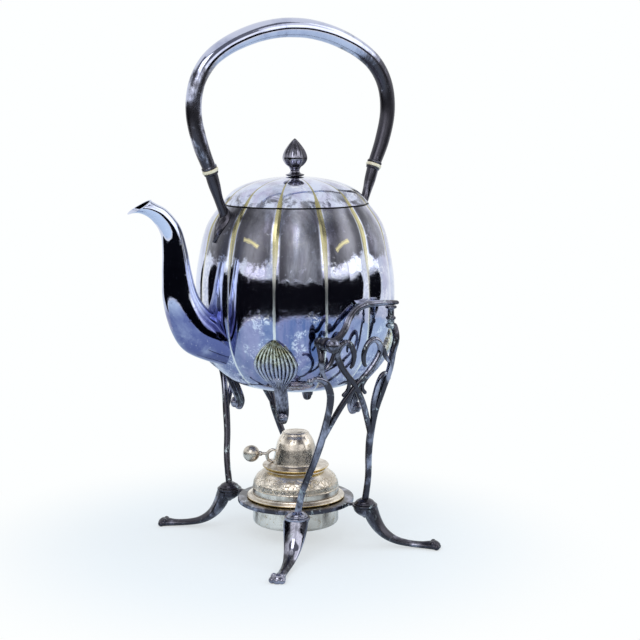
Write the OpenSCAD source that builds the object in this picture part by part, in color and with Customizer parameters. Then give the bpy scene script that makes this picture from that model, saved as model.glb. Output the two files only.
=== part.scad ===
// Spirit kettle on its stand: a twelve-lobed kettle that tilts on two ball-headed screws
// between two scrolled side frames, over a spirit burner with a lift-off snuffer.
// Forward is the spout's way, which is -X. Left out of the numbers below is only what
// follows from them. The origin is on the table, below the middle of the whole outline.

/* [Kettle body] */
// Greatest radius of the body, over the crowns of the lobes
body_r = 75; // [70:0.1:76]
// Height of the body from its bottom to the lid's seam
body_h = 140; // [125:0.5:155]
// Height of the body's bottom above the table
body_z = 118; // [112:0.5:130]
// Radius of the lid's seam
seam_r = 55.1; // [50:0.1:58]
// Thickness of the body's sheet
body_wall = 1.1; // [0.8:0.1:2]
// Number of lobes
lobes = 12; // [12:12:12]
// Depth of the seams between the lobes, at the widest
lobe_depth = 3.4; // [1:0.1:5]

/* [Lid] */
// Height of the lid's dome over the seam
lid_h = 19.8; // [14:0.1:24]
// Thickness of the lid's sheet
lid_wall = 1; // [0.8:0.1:2]
// Depth of the skirt inside the mouth
skirt_h = 5.5; // [3:0.1:8]
// Height of the bud on the lid
bud_h = 26; // [20:0.5:32]
// Greatest radius of the bud
bud_r = 9.4; // [7:0.1:12]
// Radius of the bud's stem through the lid
stem_r = 1.6; // [1.2:0.1:2.5]
// Radius of the lid hinge's pin
hinge_pin_r = 0.9; // [0.7:0.05:1.1]
// Outer radius of the hinge's knuckles
knuckle_r = 2.1; // [1.9:0.1:2.6]
// Length of the middle knuckle
knuckle_len = 6; // [4:0.5:8]

/* [Handle] */
// Half width of the handle's arch at its widest
handle_half = 85.3; // [80:0.1:92]
// Height of the arch's centreline over the lid's seam
handle_rise = 129; // [118:0.5:140]
// Radius of the grip at its top
grip_r = 7.2; // [5.5:0.1:8.5]
// Thickness of the ivory-coloured insulating rings
ring_t = 2.4; // [1.5:0.1:4]
// Length of the leaves that hold the handle to the shoulder
leaf_len = 27; // [20:0.5:30]

/* [Spout] */
// Reach of the spout's lip from the kettle's axis
spout_reach = 137; // [130:0.5:142]
// Height of the spout's mouth over the body's bottom
spout_rise = 143; // [136:0.5:148]
// Half height of the spout's root on the body
root_half = 18.3; // [15:0.1:20]
// Wall of the spout
spout_wall = 1; // [0.8:0.1:1.6]
// Radius of the strainer's holes behind the spout
strain_r = 2.6; // [1.5:0.1:3]

/* [Shell feet] */
// Width of a shell
shell_w = 32; // [26:0.5:34]
// Height of a shell above its stem
shell_h = 38; // [32:0.5:42]
// How far the shell feet reach below the body's bottom
shell_drop = 18; // [14:0.5:22]

/* [Tilting mount] */
// Distance of the pivots' axis in front of the kettle's axis
pivot_a = 29.5; // [24:0.5:33]
// Height of the pivots' axis above the body's bottom
pivot_up = 48; // [44:0.5:54]
// Radius of the pivot screws
pivot_r = 2; // [1.6:0.1:2.6]
// Radius of the screws' ball heads
ball_r = 5.3; // [4.5:0.1:6.5]
// Clearance round the screws in the eyes
pivot_gap = 0.06; // [0.03:0.01:0.1]
// Radius of the side arms
arm_r = 2.4; // [2:0.1:3]
// Height of the posts that the arms rest on
post_h = 12.5; // [10:0.5:15]

/* [Stand] */
// Inner radius of the ring that carries the burner, over the burner's pan
ring_gap = 0.6; // [0.3:0.1:1.5]
// Width of the ring
ring_w = 11.2; // [8:0.1:14]
// Thickness of the ring
ring_thick = 3.3; // [2.5:0.1:5]
// Height of the ring's top above the table
ring_z = 33; // [29:0.5:38]
// Distance of the four frame nodes from the kettle's axis
node_r = 57.5; // [54:0.5:62]
// Angle of the nodes from the spout's way
node_angle = 58; // [52:1:62]
// Radius of the nodes' flanges
flange_r = 9.5; // [8:0.1:11]
// Radius of the frames' rods
rod_r = 2.6; // [2.2:0.1:3.2]
// Reach of a foot's toe from the kettle's axis
toe_r = 113; // [106:0.5:120]
// Angle of the toes from the spout's way
toe_angle = 50; // [46:1:54]

/* [Burner] */
// Radius of the burner's pan
pan_r = 32.8; // [30:0.1:34]
// Height of the pan's underside above the table
pan_z = 13; // [8:0.5:18]
// Wall of the burner's shells
burner_wall = 1; // [0.8:0.1:1.6]
// Radius of the wick's tube
wick_r = 6; // [4:0.1:8]
// Radius of the snuffer's dome
snuffer_r = 15.2; // [12:0.1:18]
// Height of the snuffer over its brim
snuffer_h = 27; // [22:0.5:29]
// Reach of the snuffer's ball knob from the burner's axis
knob_reach = 34; // [30:0.5:38]
// Radius of the snuffer's ball knob
knob_r = 6.4; // [5:0.1:7]

/* [Hidden] */
$fn = 48;
silver = [0.66, 0.67, 0.74];
dark_silver = [0.5, 0.5, 0.57];
ivory = [0.93, 0.9, 0.8];
pale_gold = [0.85, 0.8, 0.66];
brass = [0.8, 0.64, 0.34];
cotton = [0.92, 0.9, 0.84];
seam_gap = 0.3;
seat = 0.05;

// Points are written as forward, sideways and up from the kettle's foot point.
function place(a, b, z) = [-a, -b, z];
function round_at(th, r, z) = [-r * cos(th), -r * sin(th), z];
function unit(v) = v / norm(v);
function mix(p, q, t) = p + (q - p) * t;
function last(p) = p[len(p) - 1];

// A smooth run through the stations p, with n steps between each two.
function cubic(p, q, r, s, t) = 0.5 * (2 * q + (r - p) * t
    + (2 * p - 5 * q + 4 * r - s) * t * t + (3 * q - p - 3 * r + s) * t * t * t);
function smooth(p, n) = concat(
    [for (i = [0:len(p) - 2], j = [0:n - 1])
        cubic(p[max(i - 1, 0)], p[i], p[i + 1], p[min(i + 2, len(p) - 1)], j / n)],
    [last(p)]);

// A closed skin over rings of points that turn the same way about the run of the rings.
module skin(rings, closed = false) {
    n = len(rings[0]);
    m = len(rings);
    steps = closed ? m - 1 : m - 2;
    points = [for (r = rings, p = r) p];
    sides = [for (j = [0:steps], i = [0:n - 1])
        let (a = j * n + i, b = j * n + (i + 1) % n,
            d = ((j + 1) % m) * n + i, c = ((j + 1) % m) * n + (i + 1) % n)
        each [[a, d, c], [a, c, b]]];
    caps = closed ? [] : [[for (i = [0:n - 1]) i], [for (i = [n - 1:-1:0]) (m - 1) * n + i]];
    polyhedron(points = points, faces = concat(sides, caps), convexity = 8);
}

// Rings square to a path. A station is [x, y, z, half along side, half across].
function along(p, i) = unit([for (k = [0:2]) p[min(i + 1, len(p) - 1)][k] - p[max(i - 1, 0)][k]]);
function square_rings(p, side, n) = [for (i = [0:len(p) - 1])
    let (t = along(p, i), v = unit(cross(t, side)), u = cross(v, t), c = [p[i][0], p[i][1], p[i][2]])
    [for (k = [0:n - 1]) c + u * p[i][3] * cos(360 * k / n) + v * p[i][4] * sin(360 * k / n)]];
module rod(stations, side, sides = 8, steps = 3) {
    skin(square_rings(smooth(stations, steps), side, sides));
}

// The body's outline as shares of its radius and height, from the bottom up to the seam.
body_top = body_z + body_h;
body_line = [[0.2, 0], [0.45, 0.021], [0.667, 0.064], [0.827, 0.14],
    [0.933, 0.235], [0.988, 0.37], [1, 0.555], [0.962, 0.72], [0.88, 0.886]];
body_stations = concat([for (p = body_line) [p[0] * body_r, body_z + p[1] * body_h]],
    [[seam_r, body_top]]);
body_outline = smooth(body_stations, 2);
body_table = [for (p = body_outline) [p[1], p[0]]];
function body_radius(z) = lookup(z, body_table);
// The seams are deepest at the widest and fade toward the bottom and the mouth.
function lobe_share(z) = lookup((z - body_z) / body_h,
    [[0, 0], [0.03, 0.3], [0.2, 0.85], [0.5, 1], [0.8, 0.85], [1, 0.45]]);
lobe_angle = 360 / lobes;
function in_lobe(th) = (th - lobe_angle * round(th / lobe_angle)) * 2 / lobe_angle;
function lobed(r, depth, th) = r - depth * pow(in_lobe(th), 2);
function surface_r(th, z) = lobed(body_radius(z), lobe_depth * lobe_share(z), th);
function slope(z) = (body_radius(z + 1) - body_radius(z - 1)) / 2;
// A point at height h square above the body's surface.
function on_body(th, z, h) = let (k = slope(z), q = sqrt(1 + k * k))
    round_at(th, surface_r(th, z) + h / q, z - h * k / q);
turns = 4 * lobes;
body_mid = body_z + 0.55 * body_h;
function sunk(p, wall) = let (d = [p[0], p[1] - body_mid])
    [0, body_mid] + d * (1 - wall / norm(d));
mouth_r = seam_r - 2.6;
body_inner = [for (i = [9, 7, 6, 5, 4, 3, 2, 0]) sunk(body_stations[i], body_wall)];

module turned_body() {
    rotate_extrude($fn = 96) polygon(concat([[0, body_z]], body_outline, [[0, body_top]]));
}

module in_frame() {
    translate([axis_x, 0, 0]) children();
}

module body_shell() {
    outer = [for (p = body_outline) [for (k = [0:turns - 1]) let (th = 360 * k / turns)
        round_at(th, lobed(p[0], lobe_depth * lobe_share(p[1]), th), p[1])]];
    lip = [for (z = [body_top, body_top - body_wall]) [for (k = [0:turns - 1])
        round_at(360 * k / turns, mouth_r, z)]];
    inner = [for (p = body_inner) [for (k = [0:turns - 1]) let (th = 360 * k / turns)
        round_at(th, lobed(p[0], lobe_depth * lobe_share(p[1]), th), min(p[1], body_top - 1.4))]];
    skin(concat(outer, lip, inner));
}

// Holes through the body behind the spout: one in the middle and six round it.
root_z = body_z + 0.3 * body_h;
module kettle_body() {
    color(silver) in_frame() difference() {
        body_shell();
        for (k = [0:6])
            translate(place(0, k == 0 ? 0 : 8.5 * cos(60 * k), root_z + (k == 0 ? 0 : 8.5 * sin(60 * k))))
                rotate([0, -90, 0]) cylinder(r = strain_r, h = body_r + 5, $fn = 24);
    }
}

// The spout's stations: forward, up, lean of the section, half height and half width.
mouth_z = body_z + spout_rise;
spout_line = [
    [81, root_z + 7, 40, 17.6, 16.4],
    [91, root_z + 17.5, 58, 15.6, 14.6],
    [98.2, root_z + 34, 76, 13, 12.2],
    [100.8, root_z + 51, 83, 10.9, 10.4],
    [102.3, root_z + 69, 84, 8.9, 8.8],
    [105.6, mouth_z - 17.5, 68, 7.5, 7.7],
    [114, mouth_z - 6.5, 57, 6.6, 6.7],
    [123, mouth_z - 1.4, 62, 6.6, 5.9],
    [spout_reach - 7.6, mouth_z, 66, 8.1, 5.3]];
function spout_ring(p, thin, n) = [for (k = [0:n - 1])
    let (w = -sin(p[2]), h = cos(p[2]), q = 360 * k / n)
    place(p[0] + w * (p[3] - thin) * cos(q), (p[4] - thin) * sin(q), p[1] + h * (p[3] - thin) * cos(q))];
// The root ring lies on the body's surface.
function root_ring(thin, n) = [for (k = [0:n - 1])
    let (q = 360 * k / n, b = (17 - thin) * sin(q), z = root_z + (root_half - thin) * cos(q),
        th = asin(b / body_radius(z)), r = surface_r(th, z) + seat)
    place(sqrt(r * r - b * b), b, z)];
spout_run = smooth(spout_line, 2);
spout_sides = 14;
module spout() {
    color(silver) in_frame() skin(concat(
        [root_ring(0, spout_sides)],
        [for (p = spout_run) spout_ring(p, 0, spout_sides)],
        [for (i = [len(spout_run) - 1:-1:0]) spout_ring(spout_run[i], spout_wall, spout_sides)],
        [root_ring(spout_wall, spout_sides)]), true);
}
spout_front = max([for (p = spout_ring(last(spout_run), 0, spout_sides)) -p[0]]);

// The handle's arch: half widths as shares of the widest, heights as shares of the rise.
side_r = 5.9;
arch_line = [[0.748, 0.01], [0.79, 0.1], [0.849, 0.205], [0.944, 0.357], [1, 0.52], [0.973, 0.674],
    [0.862, 0.798], [0.68, 0.887], [0.434, 0.955], [0.2, 0.991], [0, 1]];
function arch(i) = [arch_line[i][0] * handle_half, body_top + arch_line[i][1] * handle_rise];
function arch_r(i) = lookup(i, [[2, 4.9], [3, 5.6], [5, side_r], [8, 6.9], [10, grip_r]]);
ring_p = arch(2);
ring_dir = unit(arch(3) - arch(1));
grip_start = ring_p + ring_dir * (ring_t / 2 + 0.02);
stub_end = ring_p - ring_dir * (ring_t / 2 + 0.02);
grip_half = concat([[grip_start[0], grip_start[1], 4.9]],
    [for (i = [3:10]) [arch(i)[0], arch(i)[1], arch_r(i)]]);
grip_run = smooth(grip_half, 2);
grip_path = concat([for (i = [0:len(grip_run) - 1]) [-grip_run[i][0], 0, grip_run[i][1],
    grip_run[i][2], grip_run[i][2]]],
    [for (i = [len(grip_run) - 2:-1:0]) [grip_run[i][0], 0, grip_run[i][1], grip_run[i][2],
        grip_run[i][2]]]);
function end_ring(c, t, r, n) = let (v = unit(cross(t, [0, 1, 0])), u = cross(v, t))
    [for (k = [0:n - 1]) c + u * r * cos(360 * k / n) + v * r * sin(360 * k / n)];
grip_bare = square_rings(grip_path, [0, 1, 0], 10);
grip_rings = concat(
    [end_ring([-grip_start[0], 0, grip_start[1]], [-ring_dir[0], 0, ring_dir[1]], 4.9, 10)],
    [for (i = [1:len(grip_bare) - 2]) grip_bare[i]],
    [end_ring([grip_start[0], 0, grip_start[1]], [-ring_dir[0], 0, -ring_dir[1]], 4.9, 10)]);
grip_back = max([for (r = grip_rings, p = r) p[0]]);
// The origin lies half way between the spout's lip and the back of the handle.
axis_x = (spout_front - grip_back) / 2;

// The lid carries the lobes on, over a skirt that drops into the mouth.
lid_z = body_top + seam_gap;
lid_top = lid_z + lid_h;
lid_line = [[0.045, 1], [0.3, 0.955], [0.6, 0.79], [0.84, 0.48], [1, 0]];
lid_stations = [for (p = lid_line) [p[0] * seam_r, lid_z + p[1] * lid_h]];
lid_outline = smooth(lid_stations, 2);
skirt_r = mouth_r - 0.7;
function lid_lobe(r) = lobe_depth * 0.45 * lookup(r / seam_r, [[0.04, 0], [0.2, 0.35], [0.6, 1], [1, 1]]);
lid_table = [for (i = [len(lid_outline) - 1:-1:0]) [lid_outline[i][0], lid_outline[i][1]]];
function lid_height(r) = lookup(r, [for (p = lid_outline) [p[0], p[1]]]);
module lid() {
    outer = [for (i = [len(lid_outline) - 1:-1:0]) let (p = lid_outline[i])
        [for (k = [0:turns - 1]) let (th = 360 * k / turns)
            round_at(th, lobed(p[0], lid_lobe(p[0]), th), p[1])]];
    inner = [for (i = [0, 2, 3, 4]) let (p = lid_stations[i], r = min(max(p[0] - lid_wall * 0.6,
        stem_r + 0.6), skirt_r - lid_wall),
            z = max(p[1] - lid_wall, lid_z + 1))
        [for (k = [0:turns - 1]) let (th = 360 * k / turns)
            round_at(th, lobed(r, lid_lobe(r) * (r > 0.8 * seam_r ? 0 : 1), th), z)]];
    skirt = [for (p = [[skirt_r - lid_wall, lid_z - skirt_h], [skirt_r - 0.1, lid_z - skirt_h],
        [skirt_r, lid_z]])
        [for (k = [0:turns - 1]) round_at(360 * k / turns, p[0], p[1])]];
    color(silver) in_frame() skin(concat(outer, [for (i = [0:len(inner) - 1]) inner[i]], skirt), true);
}

// The bud is fluted, and stands on a waist and a small flange.
bud_z = lid_top + 0.1;
bud_line = [[0.4, 0.1], [0.72, 0.19], [0.95, 0.31], [1, 0.43], [0.86, 0.6], [0.6, 0.76], [0.3, 0.9],
    [0.08, 1]];
module lid_finial() {
    z1 = bud_z + 4;
    rings = [for (p = bud_line) [for (k = [0:15]) let (th = 22.5 * k)
        round_at(th, bud_r * p[0] * (k % 2 == 0 ? 1 : 0.88), z1 + p[1] * (bud_h - 2))]];
    color(silver) in_frame() union() {
        skin(rings);
        translate([0, 0, bud_z]) rotate_extrude()
            polygon([[0, 0], [5.2, 0], [7, 0.7], [7, 1.5], [4.6, 2.1], [3.4, 3.6], [3.6, 5.2],
                [4.6, 6.9], [4.6, 7.6], [0, 9]]);
        translate([0, 0, bud_z - 9]) cylinder(r = stem_r, h = 10, $fn = 24);
    }
}
module finial_nut() {
    color(brass) in_frame() translate([0, 0, lid_top - lid_wall - 0.3 - 2.4]) difference() {
        cylinder(r = 4.2, h = 2.2, $fn = 6);
        translate([0, 0, -1]) cylinder(r = stem_r + 0.02, h = 5, $fn = 24);
    }
}

// The lid's hinge, on the side away from the front of the picture plane of the handle.
hinge_b = -(seam_r + knuckle_r + 0.9);
hinge_z = body_top + knuckle_r + 0.35;
knuckle_gap = 0.15;
function patch(th0, th1, z0, z1, n, m, hs) = [for (j = [0:m]) [for (i = [0:n])
    on_body(mix(th0, th1, i / n), mix(z0, z1, j / m), hs)]];
// A plate between two sheets of points, with its edge closed.
module sheet(under, over) {
    m = len(under);
    n = len(under[0]);
    points = concat([for (r = under, p = r) p], [for (r = over, p = r) p]);
    o = m * n;
    faces = [for (j = [0:m - 2], i = [0:n - 2]) let (a = j * n + i, b = a + 1, c = a + n + 1, d = a + n)
        each [[a, b, c], [a, c, d], [o + a, o + c, o + b], [o + a, o + d, o + c]]];
    edge = concat([for (i = [0:n - 1]) i], [for (j = [1:m - 1]) j * n + n - 1],
        [for (i = [n - 2:-1:0]) (m - 1) * n + i], [for (j = [m - 2:-1:1]) j * n]);
    e = len(edge);
    rim = [for (k = [0:e - 1]) let (a = edge[k], b = edge[(k + 1) % e])
        each [[a, o + a, o + b], [a, o + b, b]]];
    polyhedron(points = points, faces = concat(faces, rim), convexity = 6);
}
module knuckle(x0, len) {
    translate([x0, -hinge_b, hinge_z]) rotate([0, 90, 0]) cylinder(r = knuckle_r, h = len, $fn = 32);
}
module hinge_bore(r) {
    reach = knuckle_len / 2 + knuckle_gap + side_len + 1;
    translate([-reach, -hinge_b, hinge_z]) rotate([0, 90, 0]) cylinder(r = r, h = 2 * reach, $fn = 32);
}
side_len = 5;
strap_z = body_top - 6;
strap_r = surface_r(90, strap_z) + 0.02;
module body_hinge_plate() {
    x1 = knuckle_len / 2 + knuckle_gap;
    color(silver) in_frame() difference() {
        union() {
            for (s = [-1, 1]) {
                knuckle(s > 0 ? x1 : -x1 - side_len, side_len);
                translate([s > 0 ? x1 : -x1 - side_len, 0, 0]) rotate([90, 0, 90]) linear_extrude(side_len)
                    polygon([[strap_r, strap_z], [strap_r + 1.1, strap_z + 0.3],
                        [-hinge_b + knuckle_r - 0.3, hinge_z - 0.6], [-hinge_b - 0.2,
                            hinge_z - knuckle_r + 0.3]]);
            }
            sheet(patch(-98.5, -81.5, body_top - 14, body_top - 4.4, 4, 3, seat),
                patch(-98.5, -81.5, body_top - 14, body_top - 4.4, 4, 3, 1.2));
        }
        hinge_bore(hinge_pin_r + 0.01);
    }
}
function lid_patch(w, r0, r1, n, m, h) = [for (j = [0:m]) [for (i = [0:n])
    let (x = mix(-w, w, i / n), r = mix(r0, r1, j / m), th = asin(x / r))
    [x, r * cos(th), lid_height(lobed_back(r, th)) + h]]];
function lobed_back(r, th) = min(r + lid_lobe(r) * pow(in_lobe(th), 2), seam_r);
module lid_hinge_plate() {
    color(silver) in_frame() difference() {
        union() {
            knuckle(-knuckle_len / 2, knuckle_len);
            sheet(lid_patch(knuckle_len / 2, seam_r - 13, seam_r - 1.2, 2, 4, 0.18),
                lid_patch(knuckle_len / 2, seam_r - 13, seam_r - 1.2, 2, 4, 1.2));
            translate([-knuckle_len / 2, seam_r - 1.6, hinge_z + 0.2]) cube([knuckle_len, 3.6, 1.6]);
        }
        hinge_bore(hinge_pin_r + 0.06);
    }
}
module lid_hinge_pin() {
    color(dark_silver) in_frame() translate([-knuckle_len / 2 - side_len - knuckle_gap, -hinge_b, hinge_z])
        rotate([0, 90, 0]) cylinder(r = hinge_pin_r, h = knuckle_len + 2 * side_len + 2 * knuckle_gap,
            $fn = 32);
}

module handle_grip() {
    color(silver) in_frame() skin(grip_rings);
}
module insulator_rings() {
    color(ivory) in_frame() for (s = [0, 1]) mirror([s, 0, 0])
        translate([-ring_p[0], 0, ring_p[1]])
            rotate([0, -atan2(ring_dir[0], ring_dir[1]), 0])
                cylinder(r = 5.6, h = ring_t, center = true);
}
// A socket: a tapering stub, and a heart-shaped leaf that lies on the shoulder.
leaf_z = body_top - 2.5;
function leaf_half(t) = 7.2 * lookup(t, [[0, 0.45], [0.12, 0.8], [0.3, 1], [0.5, 0.86], [0.75, 0.46],
    [1, 0.06]]);
function leaf_up(t, s) = 0.4 + lookup(t, [[0, 2.4], [0.3, 2.6], [0.7, 1.3], [1, 0.4]]) * (1 - s * s);
module handle_socket() {
    rows = 10;
    cols = 6;
    function leaf(j, i, up) = let (t = j / rows, s = 2 * i / cols - 1, z = leaf_z - leaf_len * 0.86 * t,
        th = s * leaf_half(t) / body_radius(z) * 57.3)
        on_body(th, z, up ? leaf_up(t, s) : seat);
    sheet([for (j = [0:rows]) [for (i = [cols:-1:0]) leaf(j, i, false)]],
        [for (j = [0:rows]) [for (i = [cols:-1:0]) leaf(j, i, true)]]);
    foot = [surface_r(0, body_top - 4.6) + 2.9, body_top - 4.6];
    stub = square_rings(smooth([[-stub_end[0], 0, stub_end[1], 4.6, 4.6],
        [-mix(stub_end, foot, 0.3)[0] - 0.4, 0, mix(stub_end, foot, 0.3)[1], 4.3, 4.4],
        [-mix(stub_end, foot, 0.66)[0] - 0.6, 0, mix(stub_end, foot, 0.66)[1], 3.4, 3.2],
        [-foot[0], 0, foot[1], 3, 2.6]], 2), [0, 1, 0], 10);
    difference() {
        skin(concat([end_ring([-stub_end[0], 0, stub_end[1]], [ring_dir[0], 0, -ring_dir[1]], 4.6, 10)],
            [for (i = [1:len(stub) - 1]) stub[i]]));
        turned_body();
    }
}
module front_handle_socket() {
    color(silver) in_frame() handle_socket();
}
module rear_handle_socket() {
    color(silver) in_frame() rotate([0, 0, 180]) handle_socket();
}

// A shell foot: a fluted fan on the body, a bent stem, and a toe with a rosette.
shell_low = body_z + 0.07 * body_h;
shell_mid = shell_low + shell_h * 0.42;
function shell_half(t) = shell_w / 2 * lookup(t, [[0, 0.24], [0.12, 0.34], [0.3, 0.72], [0.5, 1],
    [0.66, 0.98],
    [0.82, 0.76], [0.94, 0.36], [1, 0.1]]);
flutes = 7;
// The shell's rows lie at the corners of the body's outline, so that it fits the body.
shell_top = shell_low + shell_h;
shell_bends = [for (p = body_outline) if (p[1] > shell_low + 1 && p[1] < shell_top - 2) p[1]];
shell_rows = concat([shell_low], shell_bends, [mix(last(shell_bends), shell_top, 0.6), shell_top]);
module shell_foot() {
    rows = len(shell_rows) - 1;
    cols = 2 * flutes;
    function shell_at(j, i, up) = let (z = shell_rows[j], t = (z - shell_low) / shell_h, s = 2 * i / cols - 1,
        th = s * shell_half(t) / body_radius(z) * 57.3,
        crown = lookup(t, [[0, 4.5], [0.3, 3.6], [0.8, 2.4], [1, 1]]) * (1 - 0.5 * s * s),
        flute = (i % 2 == 0 ? 1 : 0) * lookup(t, [[0, 0.2], [0.6, 1.1], [1, 0.3]]))
        on_body(lobe_angle / 2 + th, z, up ? 0.7 + crown - flute : seat);
    sheet([for (j = [0:rows]) [for (i = [0:cols]) shell_at(j, i, false)]],
        [for (j = [0:rows]) [for (i = [0:cols]) shell_at(j, i, true)]]);
    r0 = surface_r(lobe_angle / 2, shell_low);
    toe_z = body_z - shell_drop + 4.6;
    out = function (r, z, u, v) concat(round_at(lobe_angle / 2, r, z), [u, v]);
    difference() {
        rod([out(surface_r(lobe_angle / 2, shell_low + 7) + 3.4, shell_low + 7, 4.2, 2.6),
            out(r0 + 2.4, shell_low - 1, 4.4, 3.2),
            out(r0 - 3, mix(shell_low, toe_z, 0.5), 4.5, 3.5), out(r0 - 6.4, toe_z + 2, 4, 3.4),
            out(r0 - 5.4, toe_z - 3.4, 3, 3)],
            [sin(lobe_angle / 2), -cos(lobe_angle / 2), 0], 6, 2);
        turned_body();
    }
    translate(round_at(lobe_angle / 2, r0 - 3.4, toe_z)) sphere(r = 4.1, $fn = 16);
}
module shell_feet() {
    color(dark_silver) in_frame() for (k = [0:3]) rotate([0, 0, 30 + 90 * k]) shell_foot();
}

// The tilting mount: the axis runs sideways, in front of the kettle's own axis.
pivot_z = body_z + pivot_up;
block_b = body_r + 0.2;
block_t = 4.6;
block_r = 4.2;
eye_b = block_b + block_t + 3.4;
eye_t = 4.4;
ball_b = eye_b + eye_t + 0.3 + sqrt(ball_r * ball_r - pivot_r * pivot_r);
arm_z = pivot_z + 24;
arm_b = body_r + arm_r + 1.2;
post_a = -31;
post_b = arm_b + 0.6;
module side_arm() {
    difference() {
        union() {
            rod([
                concat(place(pivot_a - 3, eye_b + eye_t / 2, pivot_z + 0.8), [2.1, 2.1]),
                concat(place(pivot_a - 9.5, eye_b + 2, pivot_z + 3), [arm_r, arm_r]),
                concat(place(pivot_a - 16, eye_b + 1.4, pivot_z + 8.8), [arm_r, arm_r]),
                concat(place(pivot_a - 22.5, mix(eye_b, arm_b, 0.55), pivot_z + 15.5), [arm_r, arm_r]),
                concat(place(pivot_a - 30, mix(eye_b, arm_b, 0.9), arm_z - 2.6), [arm_r, arm_r]),
                concat(place(pivot_a - 39, arm_b, arm_z), [arm_r, arm_r]),
                concat(place(pivot_a - 50, arm_b, arm_z + 0.4), [2.2, arm_r]),
                concat(place(post_a, post_b, arm_z), [1.9, 3.2]),
                concat(place(post_a - 5.2, post_b, arm_z - 0.2), [1.5, 2.6])], [0, 0, 1], 8, 2);
            translate(place(pivot_a, eye_b, pivot_z)) rotate([90, 0, 0]) cylinder(r = 4.4, h = eye_t);
            // The lug that is soldered to the body's side.
            sheet([for (j = [0:2]) [for (i = [0:4]) lug_at(i, j, false)]],
                [for (j = [0:2]) [for (i = [0:4]) lug_at(i, j, true)]]);
        }
        translate(place(pivot_a, eye_b - 10, pivot_z)) rotate([90, 0, 0])
            cylinder(r = pivot_r + pivot_gap, h = 30, $fn = 32);
    }
}
function lug_at(i, j, out) = let (th = mix(91, 103, i / 4), z = arm_z - 3.4 + 3.4 * j)
    out ? place(-mix(1, 17, i / 4), arm_b, arm_z - 1.6 + 1.6 * j) : on_body(th, z, seat);
module side_arm_right() {
    color(silver) in_frame() side_arm();
}
module side_arm_left() {
    color(silver) in_frame() mirror([0, 1, 0]) side_arm();
}
module pivot_screw() {
    translate(place(pivot_a, block_b + 0.1, pivot_z)) rotate([90, 0, 0]) rotate_extrude()
        polygon([[0, 0], [pivot_r, 0], [pivot_r, block_t], [3.5, block_t], [3.5, block_t + 1.1], [2.7,
            block_t + 1.4],
            [2.7, block_t + 1.9], [3.3, block_t + 2.2], [3.3, block_t + 3], [pivot_r, block_t + 3],
            [pivot_r, ball_b - block_b], [0, ball_b - block_b]]);
    translate(place(pivot_a, ball_b, pivot_z)) sphere(r = ball_r);
}
module pivot_screw_right() {
    color(silver) in_frame() pivot_screw();
}
module pivot_screw_left() {
    color(silver) in_frame() mirror([0, 1, 0]) pivot_screw();
}
module both_sides() {
    children();
    mirror([0, 1, 0]) children();
}
// The blocks that the screws are held in, at the tops of the front rods.
module pivot_blocks() {
    color(silver) in_frame() both_sides() difference() {
        translate(place(pivot_a, block_b, pivot_z)) rotate([90, 0, 0]) cylinder(r = block_r, h = block_t);
        translate(place(pivot_a, block_b - 1, pivot_z)) rotate([90, 0, 0])
            cylinder(r = pivot_r + 0.01, h = block_t + 2, $fn = 32);
    }
}
post_z = arm_z - 1.9 - seam_gap - post_h;
module rest_posts() {
    color(silver) in_frame() both_sides() translate(place(post_a, post_b, post_z)) rotate_extrude()
        polygon([[0, 0], [2.6, 0], [2.6, 2.2], [3.6, 3], [3.6, 4.2], [2.4, 5], [2.4, post_h - 2.4],
            [4.2, post_h - 1.6],
            [4.2, post_h - 0.4], [3.6, post_h], [0, post_h]]);
}

// The side frames. Heights run from the nodes' flanges to the pivots' axis.
node_a = node_r * cos(node_angle);
node_b = node_r * sin(node_angle);
panel_top = block_b + 9;
frame_low = ring_z + 4.2;
function up(t) = mix(frame_low, pivot_z, t);
function panel_b(t) = mix(node_b, panel_top, lookup(t, [[0, 0], [0.42, 0.52], [0.7, 0.82], [0.82,
    0.93], [1, 1], [1.08, 1.01]]));
function panel(a, t, r) = concat(place(a, panel_b(t), up(t)), [r, r]);
side_of_panel = [1, 0, 0];
fork_a = node_a * 0.72;
module half_frame() {
    // The main rod, from the node up to the fork and on along the outer branch.
    rod([panel(node_a, -0.02, rod_r), panel(node_a * 0.93, 0.14, rod_r), panel(fork_a + 2, 0.29, rod_r),
        panel(fork_a, 0.42, rod_r), panel(fork_a + 0.4, 0.56, rod_r * 0.92), panel(fork_a + 3.4, 0.69,
            rod_r * 0.92),
        panel(fork_a + 6.6, 0.81, rod_r * 0.92), panel(fork_a + 8.2, 0.91, rod_r * 0.92)],
        side_of_panel, 6, 2);
    // The inner branch crosses to the other half and turns into the far lobe of the heart.
    rod([panel(fork_a, 0.42, rod_r * 0.8), panel(10.5, 0.61, rod_r * 0.85),
        panel(0, 0.735, rod_r * 0.85), panel(-8, 0.8, rod_r * 0.85), panel(-14.5, 0.86, rod_r * 0.85),
        panel(-18.6, 0.92, rod_r * 0.85), panel(-18, 0.965, rod_r * 0.85), panel(-13.4, 0.995,
            rod_r * 0.85),
        panel(-8, 0.98, rod_r * 0.8), panel(-4.4, 0.925, rod_r * 0.75), panel(-4.8, 0.87, rod_r * 0.6)],
        side_of_panel, 6, 2);
    // The C-scroll on the inner side of the main rod.
    rod([panel(fork_a - 0.4, 0.5, 1.6), panel(fork_a - 2.6, 0.6, 2.1), panel(fork_a - 2.2, 0.7, 2.1),
        panel(fork_a + 0.2, 0.775, 2), panel(fork_a + 4.6, 0.79, 1.7)], side_of_panel, 6, 2);
    // The bow from the lobe's top to the top of the outer branch.
    rod([panel(17.6, 0.965, 1.9), panel(21.2, 0.94, 1.8), panel(23.6, 0.895, 1.8), panel(27.4, 0.86, 1.6)],
        side_of_panel, 6, 2);
    curl([panel(11.4, 0.84, 0), panel(8.2, 0.8, 0), panel(6, 0.755, 0), panel(6.6, 0.715, 0),
        panel(9.4, 0.69, 0)], 1.5);
}
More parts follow.
